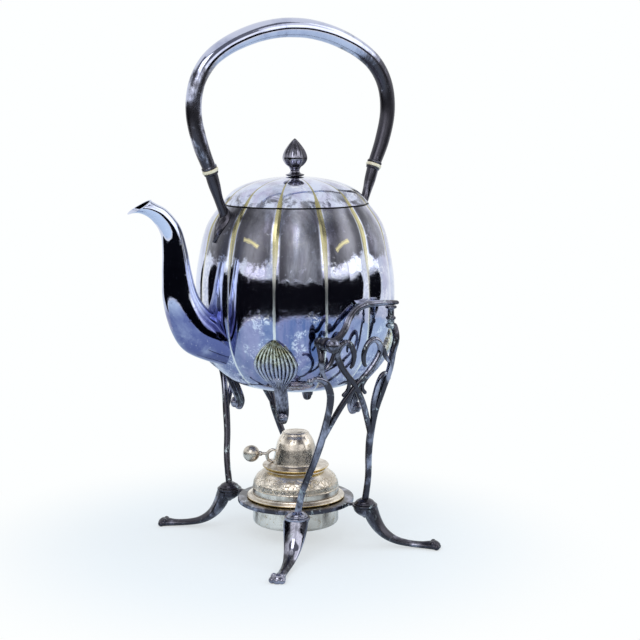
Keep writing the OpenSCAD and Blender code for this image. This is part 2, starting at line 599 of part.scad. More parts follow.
module curl(points, r) {
    for (i = [0:len(points) - 2]) hull() {
        translate([points[i][0], points[i][1], points[i][2]]) sphere(r = r, $fn = 6);
        translate([points[i + 1][0], points[i + 1][1], points[i + 1][2]]) sphere(r = r * 0.9, $fn = 6);
    }
}
module side_frame() {
    difference() {
        union() {
            half_frame();
            mirror([1, 0, 0]) half_frame();
            // The front rod's head, from the outer branch in to the block.
            rod([panel(fork_a + 8.2, 0.91, rod_r * 0.92),
                concat(place(pivot_a + 1, block_b + block_t + 1.2, pivot_z - 8), [2.6, 2.5]),
                concat(place(pivot_a + 0.4, block_b + block_t - 1.4, pivot_z - 5), [2.8, 2.2]),
                concat(place(pivot_a, block_b + block_t - 2.6, pivot_z - 3), [2.8, 1.8])],
                    side_of_panel, 6, 2);
            // The rear rod's crook, from the outer branch up and in to the post.
            rod([panel(-fork_a - 8.2, 0.91, rod_r * 0.92),
                concat(place(post_a - 1.6, panel_top - 0.6, pivot_z - 2), [2.5, 2.5]),
                concat(place(post_a - 1.4, panel_top - 2.4, mix(pivot_z, post_z, 0.6)), [2.6, 2.6]),
                concat(place(post_a - 0.4, post_b + 1.6, post_z - 1.9), [2.9, 2.3]),
                concat(place(post_a, post_b - 2.4, post_z - 2.2), [2.9, 2])], side_of_panel, 6, 2);
        }
        translate(place(pivot_a, block_b - 3, pivot_z)) rotate([90, 0, 0])
            cylinder(r = block_r + 0.02, h = block_t + 6);
        translate(place(post_a, post_b, post_z)) cylinder(r = 5, h = 6);
        for (s = [-1, 1]) translate(place(s * node_a, node_b, frame_low - 6)) cylinder(r = 6, h = 6);
    }
}
module side_frame_right() {
    color(silver) in_frame() side_frame();
}
module side_frame_left() {
    color(silver) in_frame() mirror([0, 1, 0]) side_frame();
}

// The ring that carries the burner, with its four necks and flanges.
ring_in = pan_r + ring_gap;
ring_out = ring_in + ring_w;
function node_at(sa, sb) = place(sa * node_a, sb * node_b, 0);
module at_nodes() {
    for (sa = [-1, 1], sb = [-1, 1]) translate(node_at(sa, sb)) children();
}
module stand_ring() {
    color(silver) in_frame() union() {
        rotate_extrude($fn = 96) translate([ring_in, ring_z - ring_thick]) square([ring_w, ring_thick]);
        for (sa = [-1, 1], sb = [-1, 1]) hull() {
            translate(node_at(sa, sb) * ((ring_out - 2) / node_r) + [0, 0, ring_z - 2])
                cylinder(r = 3.6, h = 2, $fn = 14);
            translate(node_at(sa, sb) + [0, 0, ring_z - 2]) cylinder(r = 3, h = 2, $fn = 14);
        }
        at_nodes() translate([0, 0, ring_z - 2]) cylinder(r = flange_r, h = 2);
    }
}
module node_caps() {
    color(silver) in_frame() at_nodes() translate([0, 0, ring_z]) rotate_extrude()
        polygon([[0, 0], [8.2, 0], [8.2, 0.8], [7.2, 1.6], [6.6, 2.6], [4.6, 3.7], [3.8, 4.2], [0, 4.2]]);
}
module knob_form(g) {
    translate([0, 0, ring_z - 2]) rotate_extrude() polygon([[0, 0], [8.4 + g, 0], [8.6 + g, -1.6],
        [7.6 + g, -4],
        [5 + g, -6], [2.6 + g, -7.2], [1 + g, -8.6 - g], [0, -9 - g]]);
}
module pendant_knobs() {
    color(dark_silver) in_frame() at_nodes() knob_form(0);
}

// A cabriole leg springs from the flange's edge, drops to its ankle and ends in a paw.
toe_a = toe_r * cos(toe_angle);
toe_b = toe_r * sin(toe_angle);
leg_run = sqrt(pow(toe_a - node_a, 2) + pow(toe_b - node_b, 2));
leg_turn = atan2(toe_b - node_b, toe_a - node_a);
module cabriole_leg() {
    function st(t, z, w, h) = concat(place(t * leg_run, 0, z), [w, h]);
    run = smooth([st(0.14, ring_z - 6.4, 8, 3.6), st(0.24, ring_z - 5.6, 10.6, 4.6), st(0.4,
        ring_z - 8.4, 10.2, 4.8),
        st(0.54, ring_z - 15, 7.4, 4.4), st(0.65, ring_z - 21.4, 4.6, 3.8), st(0.76, 7.2, 3.7, 3.2),
        st(0.85, 3.6, 5.2, 5), st(0.93, 3, 6.6, 5), st(0.98, 2.3, 5.2, 4), st(1, 1.7, 3.4, 2.8)], 2);
    difference() {
        skin(square_rings(run, [0, 1, 0], 8));
        knob_form(0.03);
        // The flat sole.
        translate([-leg_run - 20, -20, -20]) cube([leg_run + 20, 40, 20]);
    }
}
module cabriole_legs() {
    color(silver) in_frame() for (sa = [0, 1], sb = [0, 1]) mirror([0, sb, 0]) mirror([sa, 0, 0])
        translate(place(node_a, node_b, 0)) rotate([0, 0, leg_turn]) cabriole_leg();
}

// The burner: a pan, a rim that rests on the ring, an engraved shoulder and a wick tube.
rim_z = ring_z + 0.15;
rim_r = pan_r + 4.2;
module burner_pan() {
    w = burner_wall;
    top = rim_z - pan_z;
    color(pale_gold) in_frame() translate([0, 0, pan_z]) rotate_extrude($fn = 96)
        polygon([[0, 0], [pan_r - 2.4, 0], [pan_r - 0.8, 0.7], [pan_r, 2.2], [pan_r, top], [pan_r - w, top],
            [pan_r - w, 2.6], [pan_r - 2.8, w], [0, w]]);
}
module burner_rim() {
    color(pale_gold) in_frame() translate([0, 0, rim_z]) rotate_extrude($fn = 96)
        polygon([[pan_r - 2.4, 0], [rim_r, 0], [rim_r + 0.6, 0.9], [rim_r, 1.8], [pan_r + 1.4, 2.4],
            [pan_r + 1, 3.4],
            [pan_r - 2.4, 3.4]]);
}
shoulder_z = rim_z + 3.4;
neck_r = snuffer_r + 7.4;
neck_z = shoulder_z + 20;
module burner_shoulder() {
    w = burner_wall;
    color(pale_gold) in_frame() translate([0, 0, shoulder_z]) rotate_extrude($fn = 96)
        polygon([[pan_r + 0.4, 0], [pan_r + 0.2, 4.6], [pan_r - 0.4, 9], [pan_r - 2.6, 13],
            [pan_r - 6.8, 16.4],
            [neck_r, 18.6], [neck_r - 0.8, 20], [wick_r + 1.4, 20], [wick_r + 1.4, 20 - w],
                [neck_r - 1.6, 20 - w],
            [pan_r - 7.4, 16.4 - w], [pan_r - 3.6, 13 - w * 0.6], [pan_r - 1.5, 8.7],
                [pan_r - 0.8 - w * 0.4, 4.6],
            [pan_r - w, 0]]);
}
module wick_tube() {
    color(brass) in_frame() translate([0, 0, neck_z]) rotate_extrude()
        polygon([[wick_r - 0.8, -8], [wick_r, -8], [wick_r, 0.1], [wick_r + 3, 0.1], [wick_r + 3, 1],
            [wick_r, 1.2],
            [wick_r, 9], [wick_r - 0.8, 9]]);
}
module wick() {
    color(cotton) in_frame() translate([0, 0, neck_z - 22]) cylinder(r = wick_r - 0.9, h = 34);
}
// The snuffer covers the wick and rests on the shoulder's neck.
brim_z = neck_z + 0.15;
module snuffer_cap() {
    h = snuffer_h;
    r = snuffer_r;
    color(pale_gold) in_frame() translate([0, 0, brim_z]) rotate_extrude($fn = 72)
        polygon([[r - 1, 0], [neck_r + 1.6, 0], [neck_r + 3, 0.8], [neck_r + 2.6, 1.6], [neck_r - 1,
            2], [r + 1, 2.6],
            [r, 4], [r, h * 0.6], [r - 0.9, h * 0.76], [r - 2.8, h * 0.88], [r - 4.6, h * 0.93],
                [r - 4.9, h], [0, h],
            [0, h - 1], [r - 6, h - 1.2], [r - 4, h * 0.85], [r - 1.9, h * 0.74], [r - 1, h * 0.6]]);
}
knob_way = 147;
knob_z = brim_z + 9.6;
module snuffer_scroll() {
    function q(r, z, w) = [r, 0, z, w, w];
    color(pale_gold) in_frame() rotate([0, 0, knob_way]) {
        rod([q(snuffer_r + 0.1, brim_z + 12, 1), q(snuffer_r + 3, brim_z + 12.4, 1.1),
            q(snuffer_r + 6.4, brim_z + 9.6, 1.2),
            q(snuffer_r + 6.2, brim_z + 5.4, 1.2), q(snuffer_r + 3.4, brim_z + 3.6, 1),
                q(snuffer_r + 0.6, brim_z + 4.4, 0.9)],
            [0, 1, 0], 6, 2);
        rod([q(snuffer_r + 6, brim_z + 9.4, 1), q(snuffer_r + 9, brim_z + 9.6, 1),
            q(knob_reach - knob_r + 0.04, knob_z, 1)], [0, 1, 0], 6, 1);
    }
}
module snuffer_knob() {
    color(pale_gold) in_frame() rotate([0, 0, knob_way]) translate([knob_reach, 0,
        knob_z]) sphere(r = knob_r);
}

kettle_body();
spout();
lid();
lid_finial();
finial_nut();
body_hinge_plate();
lid_hinge_plate();
lid_hinge_pin();
handle_grip();
insulator_rings();
front_handle_socket();
rear_handle_socket();
shell_feet();
side_arm_right();
side_arm_left();
pivot_screw_right();
pivot_screw_left();
pivot_blocks();
rest_posts();
side_frame_right();
side_frame_left();
stand_ring();
node_caps();
pendant_knobs();
cabriole_legs();
burner_pan();
burner_rim();
burner_shoulder();
wick_tube();
wick();
snuffer_cap();
snuffer_scroll();
snuffer_knob();
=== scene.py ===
"""A lobed spirit kettle that tilts between two scrolled side frames, over a spirit burner.

Forward is the way the spout points, -X. Sideways is -Y, toward the kettle's right side.
The shapes are worked out in millimetres, and every mesh is written in metres.
"""

import math
from functools import partialmethod

import bpy
import numpy as np
from bpy.props import FloatProperty, FloatVectorProperty, IntProperty, PointerProperty
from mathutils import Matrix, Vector


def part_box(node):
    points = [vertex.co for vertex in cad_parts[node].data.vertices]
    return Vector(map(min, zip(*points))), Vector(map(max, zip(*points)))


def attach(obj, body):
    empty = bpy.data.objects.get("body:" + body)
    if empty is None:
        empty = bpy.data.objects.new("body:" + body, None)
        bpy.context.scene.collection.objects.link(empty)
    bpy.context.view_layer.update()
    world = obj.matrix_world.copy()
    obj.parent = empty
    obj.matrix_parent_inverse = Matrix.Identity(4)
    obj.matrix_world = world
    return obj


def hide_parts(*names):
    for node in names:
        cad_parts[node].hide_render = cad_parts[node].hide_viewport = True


bl_info = {
    "name": "Spirit Kettle on Stand",
    "version": (1, 0, 0),
    "blender": (4, 5, 0),
    "location": "3D View > Sidebar > Kettle",
    "description": "Builds a lobed tea kettle on a scrolled stand with its spirit burner",
    "category": "Add Mesh",
}

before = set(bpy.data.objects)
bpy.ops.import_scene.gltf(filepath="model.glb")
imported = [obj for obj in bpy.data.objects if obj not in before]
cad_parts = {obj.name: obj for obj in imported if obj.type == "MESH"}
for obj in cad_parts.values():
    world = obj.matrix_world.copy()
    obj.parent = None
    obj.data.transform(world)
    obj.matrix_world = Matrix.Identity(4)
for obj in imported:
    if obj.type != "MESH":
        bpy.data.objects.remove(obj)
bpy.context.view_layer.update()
LOW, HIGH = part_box("kettle_body")
AXIS = (LOW.x + HIGH.x) * 500
TURN = 2 * math.pi
# Degrees in a radian, as the leaves and the shells are laid out with it.
DEGREES = 57.3
# The sides that mirror each other: the sign of their way sideways, and their names' ending.
SIDES = ((1, "right"), (-1, "left"))
# Ways over the floor, as x and y: to the lobe that faces the camera, and to the camera itself.
LOBE_WAY, CAMERA_WAY = (-0.5, -0.866), (-0.545, -0.839)
# Gaps in millimetres: under the lid, under the burner and the snuffer, and round the screws in
# the arms' eyes and in their blocks.
LID_GAP, REST_GAP, EYE_GAP, BLOCK_GAP = 0.3, 0.15, 0.06, 0.01
# Heights in metres: the gap between lid and body, the middle of the mirrored room, and the height
# from which the far edge of the table is seen in the plate.
SEAM_LOW, SEAM_HIGH, ROOM_MIDDLE, EDGE_SEEN = 0.258, 0.2583, 0.19, 0.175
# The backdrop's white. The table fades to it between two distances in metres, and has the third
# number's share of it at the start.
WHITE, FADE = (0.985, 1, 1, 1), (0.1, 0.27, 0.55)
# The camera's focal length in millimetres, and how many degrees it looks past the axis and up.
FOCAL, ASIDE, PITCH = 82.97, 0.971, -8.8

# The body's outline as shares of its radius and height, from the bottom up to the seam.
BODY_LINE = np.array([[0.2, 0], [0.45, 0.021], [0.667, 0.064], [0.827, 0.14], [0.933, 0.235],
                      [0.988, 0.37], [1, 0.555], [0.962, 0.72], [0.88, 0.886]])
# How deep the seams are, by height.
SEAM_SHARE = np.array([[0, 0], [0.03, 0.3], [0.2, 0.85], [0.5, 1], [0.8, 0.85], [1, 0.45]]).T
# The handle's arch as shares of its half width and rise.
ARCH_LINE = np.array([[0.748, 0.01], [0.79, 0.1], [0.849, 0.205], [0.944, 0.357], [1, 0.52],
                      [0.973, 0.674], [0.862, 0.798], [0.68, 0.887], [0.434, 0.955], [0.2, 0.991],
                      [0, 1]])
# The lid's outline and the bud's, as shares of their radius and height.
LID_LINE = np.array([[0.045, 1], [0.3, 0.955], [0.6, 0.79], [0.84, 0.48], [1, 0]])
BUD_LINE = np.array([[0.4, 0.1], [0.72, 0.19], [0.95, 0.31], [1, 0.43], [0.86, 0.6], [0.6, 0.76],
                     [0.3, 0.9], [0.08, 0.985], [0.01, 1.0]])
# How far a side frame has leaned out toward the pivots, by the share of its height.
PANEL_LEAN = np.array([[0, 0], [0.42, 0.52], [0.7, 0.82], [0.82, 0.93], [1, 1], [1.08, 1.01]]).T


def length(name, text, mm):
    """A size of the kettle, given here in millimetres."""
    return FloatProperty(name=name, description=text, default=mm * 0.001, min=0.0001, max=2,
                         precision=4, unit="LENGTH", subtype="DISTANCE")


def angle(name, text, degrees):
    """An angle of the kettle, given here in degrees."""
    return FloatProperty(name=name, description=text, default=math.radians(degrees),
                         unit="ROTATION", subtype="ANGLE")


def colour(name, text, value):
    """A finish's own colour."""
    return FloatVectorProperty(name=name, description=text, default=value, size=3, min=0, max=1,
                               subtype="COLOR")


class KettleBodySizes(bpy.types.PropertyGroup):
    """The kettle's body and spout."""
    radius: length("Radius", "Greatest radius over the crowns of the lobes", 75)
    height: length("Height", "From the bottom to the lid's seam", 140)
    base: length("Base", "Height of the bottom above the table", 118)
    seam_radius: length("Seam radius", "Radius of the lid's seam", 55.1)
    wall: length("Wall", "Thickness of the sheet", 1.1)
    lobes: IntProperty(name="Lobes", description="Number of lobes", default=12, min=4, max=24)
    lobe_depth: length("Lobe depth", "Depth of the seams at the widest", 3.4)
    spout_rise: length("Spout rise", "Height of the spout's mouth over the bottom", 143)
    spout_reach: length("Spout reach", "Reach of the spout's lip from the axis", 137)
    root_half: length("Spout root", "Half height of the spout's root", 18.3)
    spout_wall: length("Spout wall", "Thickness of the spout's sheet", 1)
    strainer: length("Strainer hole", "Radius of the strainer's holes", 2.6)


class LidSizes(bpy.types.PropertyGroup):
    """The lid and the bud on it."""
    lid_rise: length("Dome", "Height of the dome over the seam", 19.8)
    skirt: length("Skirt", "Depth of the skirt inside the mouth", 5.5)
    bud_height: length("Bud height", "Height of the bud", 26)
    bud_radius: length("Bud radius", "Greatest radius of the bud", 9.4)
    bud_flutes: IntProperty(name="Bud flutes", description="Number of flutes", default=8, min=5,
                            max=16)


class HandleSizes(bpy.types.PropertyGroup):
    """The arched handle, its sockets and the shell feet."""
    handle_half: length("Half width", "Half width of the arch at its widest", 85.3)
    handle_rise: length("Rise", "Height of the arch over the lid's seam", 129)
    grip_radius: length("Grip radius", "Radius of the grip at its top", 7.2)
    ring_gap: length("Ring", "Thickness of the insulating rings", 2.4)
    leaf_length: length("Leaf", "Length of the leaves on the shoulder", 27)
    shell_width: length("Shell width", "Width of a shell foot", 32)
    shell_height: length("Shell height", "Height of a shell above its stem", 38)
    shell_drop: length("Shell drop", "How far the shells reach below the bottom", 18)
    shell_flutes: IntProperty(name="Shell flutes", description="Flutes on a shell", default=11,
                              min=5, max=17)


class StandSizes(bpy.types.PropertyGroup):
    """The tilting mount, the side frames, the ring and the legs."""
    pivot_forward: length("Pivot forward", "Distance of the pivots in front of the axis", 29.5)
    pivot_up: length("Pivot up", "Height of the pivots over the kettle's bottom", 48)
    pivot_radius: length("Pivot radius", "Radius of the pivot screws", 2)
    ball_radius: length("Ball radius", "Radius of the screws' ball heads", 5.3)
    arm_radius: length("Arm radius", "Radius of the side arms", 2.4)
    post: length("Post", "Height of the rear posts", 12.5)
    burner_gap: length("Burner gap", "Gap between the ring and the burner", 0.6)
    ring_width: length("Ring width", "Width of the ring", 11.2)
    ring_thick: length("Ring thickness", "Thickness of the ring", 3.3)
    ring_height: length("Ring height", "Height of the ring's top", 33)
    node_radius: length("Node radius", "Distance of the four nodes from the axis", 57.5)
    node_angle: angle("Node angle", "Angle of the nodes from the spout's way", 58)
    flange: length("Flange", "Radius of the nodes' flanges", 9.5)
    rod: length("Rod", "Radius of the frames' rods", 2.6)
    toe_reach: length("Toe reach", "Reach of a toe from the axis", 113)
    toe_angle: angle("Toe angle", "Angle of the toes from the spout's way", 50)


class BurnerSizes(bpy.types.PropertyGroup):
    """The spirit burner and its snuffer."""
    pan_radius: length("Pan radius", "Radius of the pan", 32.8)
    pan_height: length("Pan height", "Height of the pan's underside", 13)
    burner_wall: length("Wall", "Thickness of the burner's sheet", 1)
    wick_radius: length("Wick tube", "Radius of the wick's tube", 6)
    snuffer_radius: length("Snuffer radius", "Radius of the snuffer's dome", 15.2)
    snuffer_height: length("Snuffer height", "Height of the snuffer over its brim", 27)
    knob_reach: length("Knob reach", "Reach of the ball knob from the axis", 34)
    knob_radius: length("Knob radius", "Radius of the ball knob", 6.4)
    knob_way: angle("Knob way", "The way the knob points", 147)


class StageSettings(bpy.types.PropertyGroup):
    """The colours and the camera's place."""
    plate: colour("Silver plate", "Polished silver plate", (0.66, 0.71, 0.88))
    tarnish: colour("Tarnish", "Blue-violet tarnish in the plate", (0.19, 0.22, 0.4))
    bare_brass: colour("Bare brass", "Brass where the plate has worn through", (0.38, 0.345, 0.16))
    pale_plate: colour("Burner plate", "Warm pale plate of the burner", (0.92, 0.85, 0.76))
    ivory: colour("Ivory rings", "Pale insulating rings", (0.84, 0.8, 0.64))
    cotton: colour("Cotton", "The wick's cotton", (0.8, 0.77, 0.68))
    floor: colour("Floor", "Pale table top", (0.78, 0.9, 1.0))
    distance: length("Camera distance", "Distance of the camera from the axis", 1103)
    eye_height: length("Camera height", "Height of the camera over the table", 340.5)
    camera_angle: angle("Camera angle", "Way round the kettle", -33)


GROUPS = {"kettle_body": KettleBodySizes, "kettle_lid": LidSizes, "kettle_handle": HandleSizes,
          "kettle_stand": StandSizes, "kettle_burner": BurnerSizes, "kettle_stage": StageSettings}


def smooth(stations, steps):
    """A Catmull-Rom run through stations p: between p1 and p2 a point is
    (2 p1 + (p2 - p0) t + (2 p0 - 5 p1 + 4 p2 - p3) t^2 + (3 p1 - p0 - 3 p2 + p3) t^3) / 2."""
    p = np.asarray(stations, float)
    q = np.concatenate([p[:1], p, p[-1:]])
    t = np.linspace(0, 1, steps, endpoint=False).reshape([1, -1] + [1] * (p.ndim - 1))
    a, b, c, d = (q[i:i + len(p) - 1][:, None] for i in range(4))
    run = 0.5 * (2 * b + (c - a) * t + (2 * a - 5 * b + 4 * c - d) * t ** 2
                 + (3 * b - a - 3 * c + d) * t ** 3)
    return np.concatenate([run.reshape((-1,) + p.shape[1:]), p[-1:]])


def curve(table, t):
    """The smooth run through a table of (t, value), read at t."""
    run = smooth(table, 8)
    return np.interp(t, run[:, 0], run[:, 1])


def soften(profile, reach, steps=3, closed=False):
    """Rounds the corners of a profile: each corner p becomes the parabola
    (1 - t)^2 a + 2 t (1 - t) p + t^2 b between points a and b that lie reach away from it."""
    p = np.asarray(profile, float)
    back, on = np.roll(p, 1, 0) - p, np.roll(p, -1, 0) - p
    back_len = np.linalg.norm(back, axis=1, keepdims=True) + 1e-9
    on_len = np.linalg.norm(on, axis=1, keepdims=True) + 1e-9
    d = np.minimum(reach, 0.45 * np.minimum(back_len, on_len))
    if not closed:
        d[[0, -1]] = 0
    t = np.linspace(0, 1, steps + 1)[None, :, None]
    a, b = p + back / back_len * d, p + on / on_len * d
    bent = (1 - t) ** 2 * a[:, None] + 2 * t * (1 - t) * p[:, None] + t ** 2 * b[:, None]
    if closed:
        return bent.reshape(-1, 2)
    return np.concatenate([p[:1], bent[1:-1].reshape(-1, 2), p[-1:]])


def place(a, b, z):
    """Forward, sideways and up from the kettle's foot point, as x, y, z."""
    a, b, z = np.broadcast_arrays(a, b, z)
    return np.stack([AXIS - a, -b, z], -1).astype(float)


def round_at(th, r, z):
    """The point at th degrees round from the spout's way, r from the axis and z up."""
    th = np.radians(th)
    return place(r * np.cos(th), r * np.sin(th), z)


def turned(profile, around, flutes=0, depth=0.0, twist=0.0):
    """A turned form: x = s r cos(q), y = s r sin(q), z = h for each (r, h) of the profile,
    where s = 1 - depth (1 - cos(flutes q + twist h)) / 2."""
    p = np.asarray(profile, float)
    q = np.arange(around) * TURN / around
    r, h = np.maximum(p[:, :1], 0.01), p[:, 1:]
    r = r * (1 - depth * (1 - np.cos(flutes * q + twist * h)) / 2)
    return np.stack([r * np.cos(q), r * np.sin(q), h + 0 * r], -1)


def move(points, origin, up=(0, 0, 1), ahead=(1, 0, 0)):
    """Points carried to an origin: x along ahead, z along up, y square to both."""
    z = np.asarray(up, float) / np.linalg.norm(up)
    x = np.asarray(ahead, float)
    x = x - z * (x @ z)
    x = x / np.linalg.norm(x)
    return np.asarray(origin, float) + points @ np.stack([x, np.cross(z, x), z])


def tube(stations, side, around=20, steps=6, ribs=0, rib=0.0, ends=(0.0, 0.0), flat=None):
    """A section carried along a smooth path: point = c + s (h1 cos(q) u + h2 sin(q) v), where
    s = 1 + rib cos(ribs q), v is square to the path and the side, and u square to both. At an
    end with a bulge k the rings close over a quarter turn: they shrink by cos(f) and go on by
    k h sin(f)."""
    run = smooth(stations, steps)
    c, h = run[:, :3], run[:, 3:5]
    t = np.gradient(c, axis=0)
    t /= np.linalg.norm(t, axis=1, keepdims=True)
    v = np.cross(t, np.asarray(side, float))
    v /= np.linalg.norm(v, axis=1, keepdims=True)
    u = np.cross(v, t)
    q = np.arange(around) * TURN / around
    s = 1 + rib * np.cos(ribs * q)
    off = (u[:, None] * (h[:, :1] * np.cos(q) * s)[..., None]
           + v[:, None] * (h[:, 1:] * np.sin(q) * s)[..., None])
    f = np.radians([80, 60, 35])[:, None, None]
    head = c[0] + off[:1] * np.cos(f) - t[0] * h[0].mean() * ends[0] * np.sin(f)
    tail = c[-1] + off[-1:] * np.cos(f[::-1]) + t[-1] * h[-1].mean() * ends[1] * np.sin(f[::-1])
    rings = np.concatenate([head, c[:, None] + off, tail])
    if flat is not None:
        rings[..., 2] = np.maximum(rings[..., 2], flat)
    return rings


def ball(centre, radii, around, rows):
    """An ellipsoid: centre + (a sin(f) cos(q), b sin(f) sin(q), c cos(f)), or a sphere."""
    f = np.linspace(0.02, math.pi - 0.02, rows)[:, None]
    q = np.arange(around) * TURN / around
    unit = np.stack([np.sin(f) * np.cos(q), np.sin(f) * np.sin(q), np.cos(f) + 0 * q], -1)
    return np.asarray(centre, float) + unit * np.asarray(radii, float)


def plate(under, over):
    """A closed plate between two sheets of points, as rings that go over and come back under."""
    return np.concatenate([over, under[:, ::-1]], axis=1)


def quads(rows, cols, m, n):
    """Rows x cols of cells over m x n points: each cell's row, column and corners."""
    j, i = (g.ravel() for g in np.meshgrid(np.arange(rows), np.arange(cols), indexing="ij"))
    j2, i2 = (j + 1) % m, (i + 1) % n
    return j, i, np.stack([j * n + i, j * n + i2, j2 * n + i2, j2 * n + i], 1)


def grid(points, ring=False, inner=None):
    """Corners, faces, their map places and finish numbers for rows x columns of points. Columns
    close round, and so do rows when ring is on; else both ends get a fan to their middle. From
    row inner on, faces take the second finish. Faces are turned so that the volume is positive."""
    m, n = points.shape[:2]
    rows = m if ring else m - 1
    j, i, faces = quads(rows, n, m, n)
    u0, u1, v0, v1 = i / n, (i + 1) / n, j / rows, (j + 1) / rows
    uv = np.stack([np.stack(p, -1) for p in ((u0, v0), (u1, v0), (u1, v1), (u0, v1))], 1)
    kind = (j >= (inner if inner is not None else m)).astype(int)
    co = points.reshape(-1, 3)
    tris, tri_uv = np.zeros((0, 3), int), np.zeros((0, 3, 2))
    if not ring:
        co = np.concatenate([co, points[0].mean(0)[None], points[-1].mean(0)[None]])
        k, k2 = np.arange(n), (np.arange(n) + 1) % n
        middle, last = m * n, (m - 1) * n
        tris = np.concatenate([np.stack([0 * k + middle, k2, k], 1),
                               np.stack([0 * k + middle + 1, last + k, last + k2], 1)])
        a, b = (np.stack([(k + s) / n, 0 * k], -1) for s in (0, 1))
        tri_uv = np.concatenate([np.stack([a, b, a], 1), np.stack([a, a, b], 1) + (0, 1)])
        kind = np.concatenate([kind, np.full(n, int(inner == 0)),
                               np.full(n, int(inner is not None))])
    three = np.concatenate([faces[:, [0, 1, 2]], faces[:, [0, 2, 3]], tris])
    volume = np.einsum("ij,ij->", co[three[:, 0]], np.cross(co[three[:, 1]], co[three[:, 2]]))
    if volume < 0:
        faces, uv, tris, tri_uv = faces[:, ::-1], uv[:, ::-1], tris[:, ::-1], tri_uv[:, ::-1]
    return co, faces, tris, uv, tri_uv, kind


def upright(profile, around, ring=False):
    """A turned form on the kettle's axis, as a grid."""
    return grid(move(turned(profile, around), (AXIS, 0, 0)), ring)


def piece(name, parts, finishes, body, stands_for=(), sharp=34):
    """Joins grids into one mesh at the origin, with its smooth faces parted at edges sharper than
    the angle, and lets it ride on its body in place of the CAD nodes it stands for."""
    start, co, sizes, corners, uvs, kinds = 0, [], [], [], [], []
    for p in parts:
        points, faces, tris, uv, tri_uv, kind = p if isinstance(p, tuple) else grid(p)
        co.append(points)
        corners += [(faces + start).ravel(), (tris + start).ravel()]
        sizes += [np.full(len(faces), 4), np.full(len(tris), 3)]
        uvs += [uv.reshape(-1, 2), tri_uv.reshape(-1, 2)]
        kinds.append(kind)
        start += len(points)
    co, sizes, corners = np.concatenate(co) * 0.001, np.concatenate(sizes), np.concatenate(corners)
    mesh = bpy.data.meshes.new(name)
    mesh.vertices.add(len(co))
    mesh.vertices.foreach_set("co", co.astype(np.float32).ravel())
    mesh.loops.add(len(corners))
    mesh.loops.foreach_set("vertex_index", corners.astype(np.int32))
    mesh.polygons.add(len(sizes))
    mesh.polygons.foreach_set("loop_start", (np.cumsum(sizes) - sizes).astype(np.int32))
    mesh.polygons.foreach_set("material_index", np.concatenate(kinds).astype(np.int32))
    uvs = np.concatenate(uvs).astype(np.float32)
    mesh.uv_layers.new(name="surface").uv.foreach_set("vector", uvs.ravel())
    mesh.update(calc_edges=True)
    mesh.validate()
    obj = bpy.data.objects.new(name, mesh)
    bpy.context.scene.collection.objects.link(obj)
    for f in finishes:
        mesh.materials.append(finish(f))
    mesh.shade_smooth()
    mesh.set_sharp_from_angle(angle=math.radians(sharp))
    if body:
        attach(obj, body)
        if stands_for:
            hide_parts(*stands_for)
    return obj


def dress(node, name):
    """Gives a CAD node its finish."""
    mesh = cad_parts[node].data
    mesh.materials.clear()
    mesh.materials.append(finish(name))


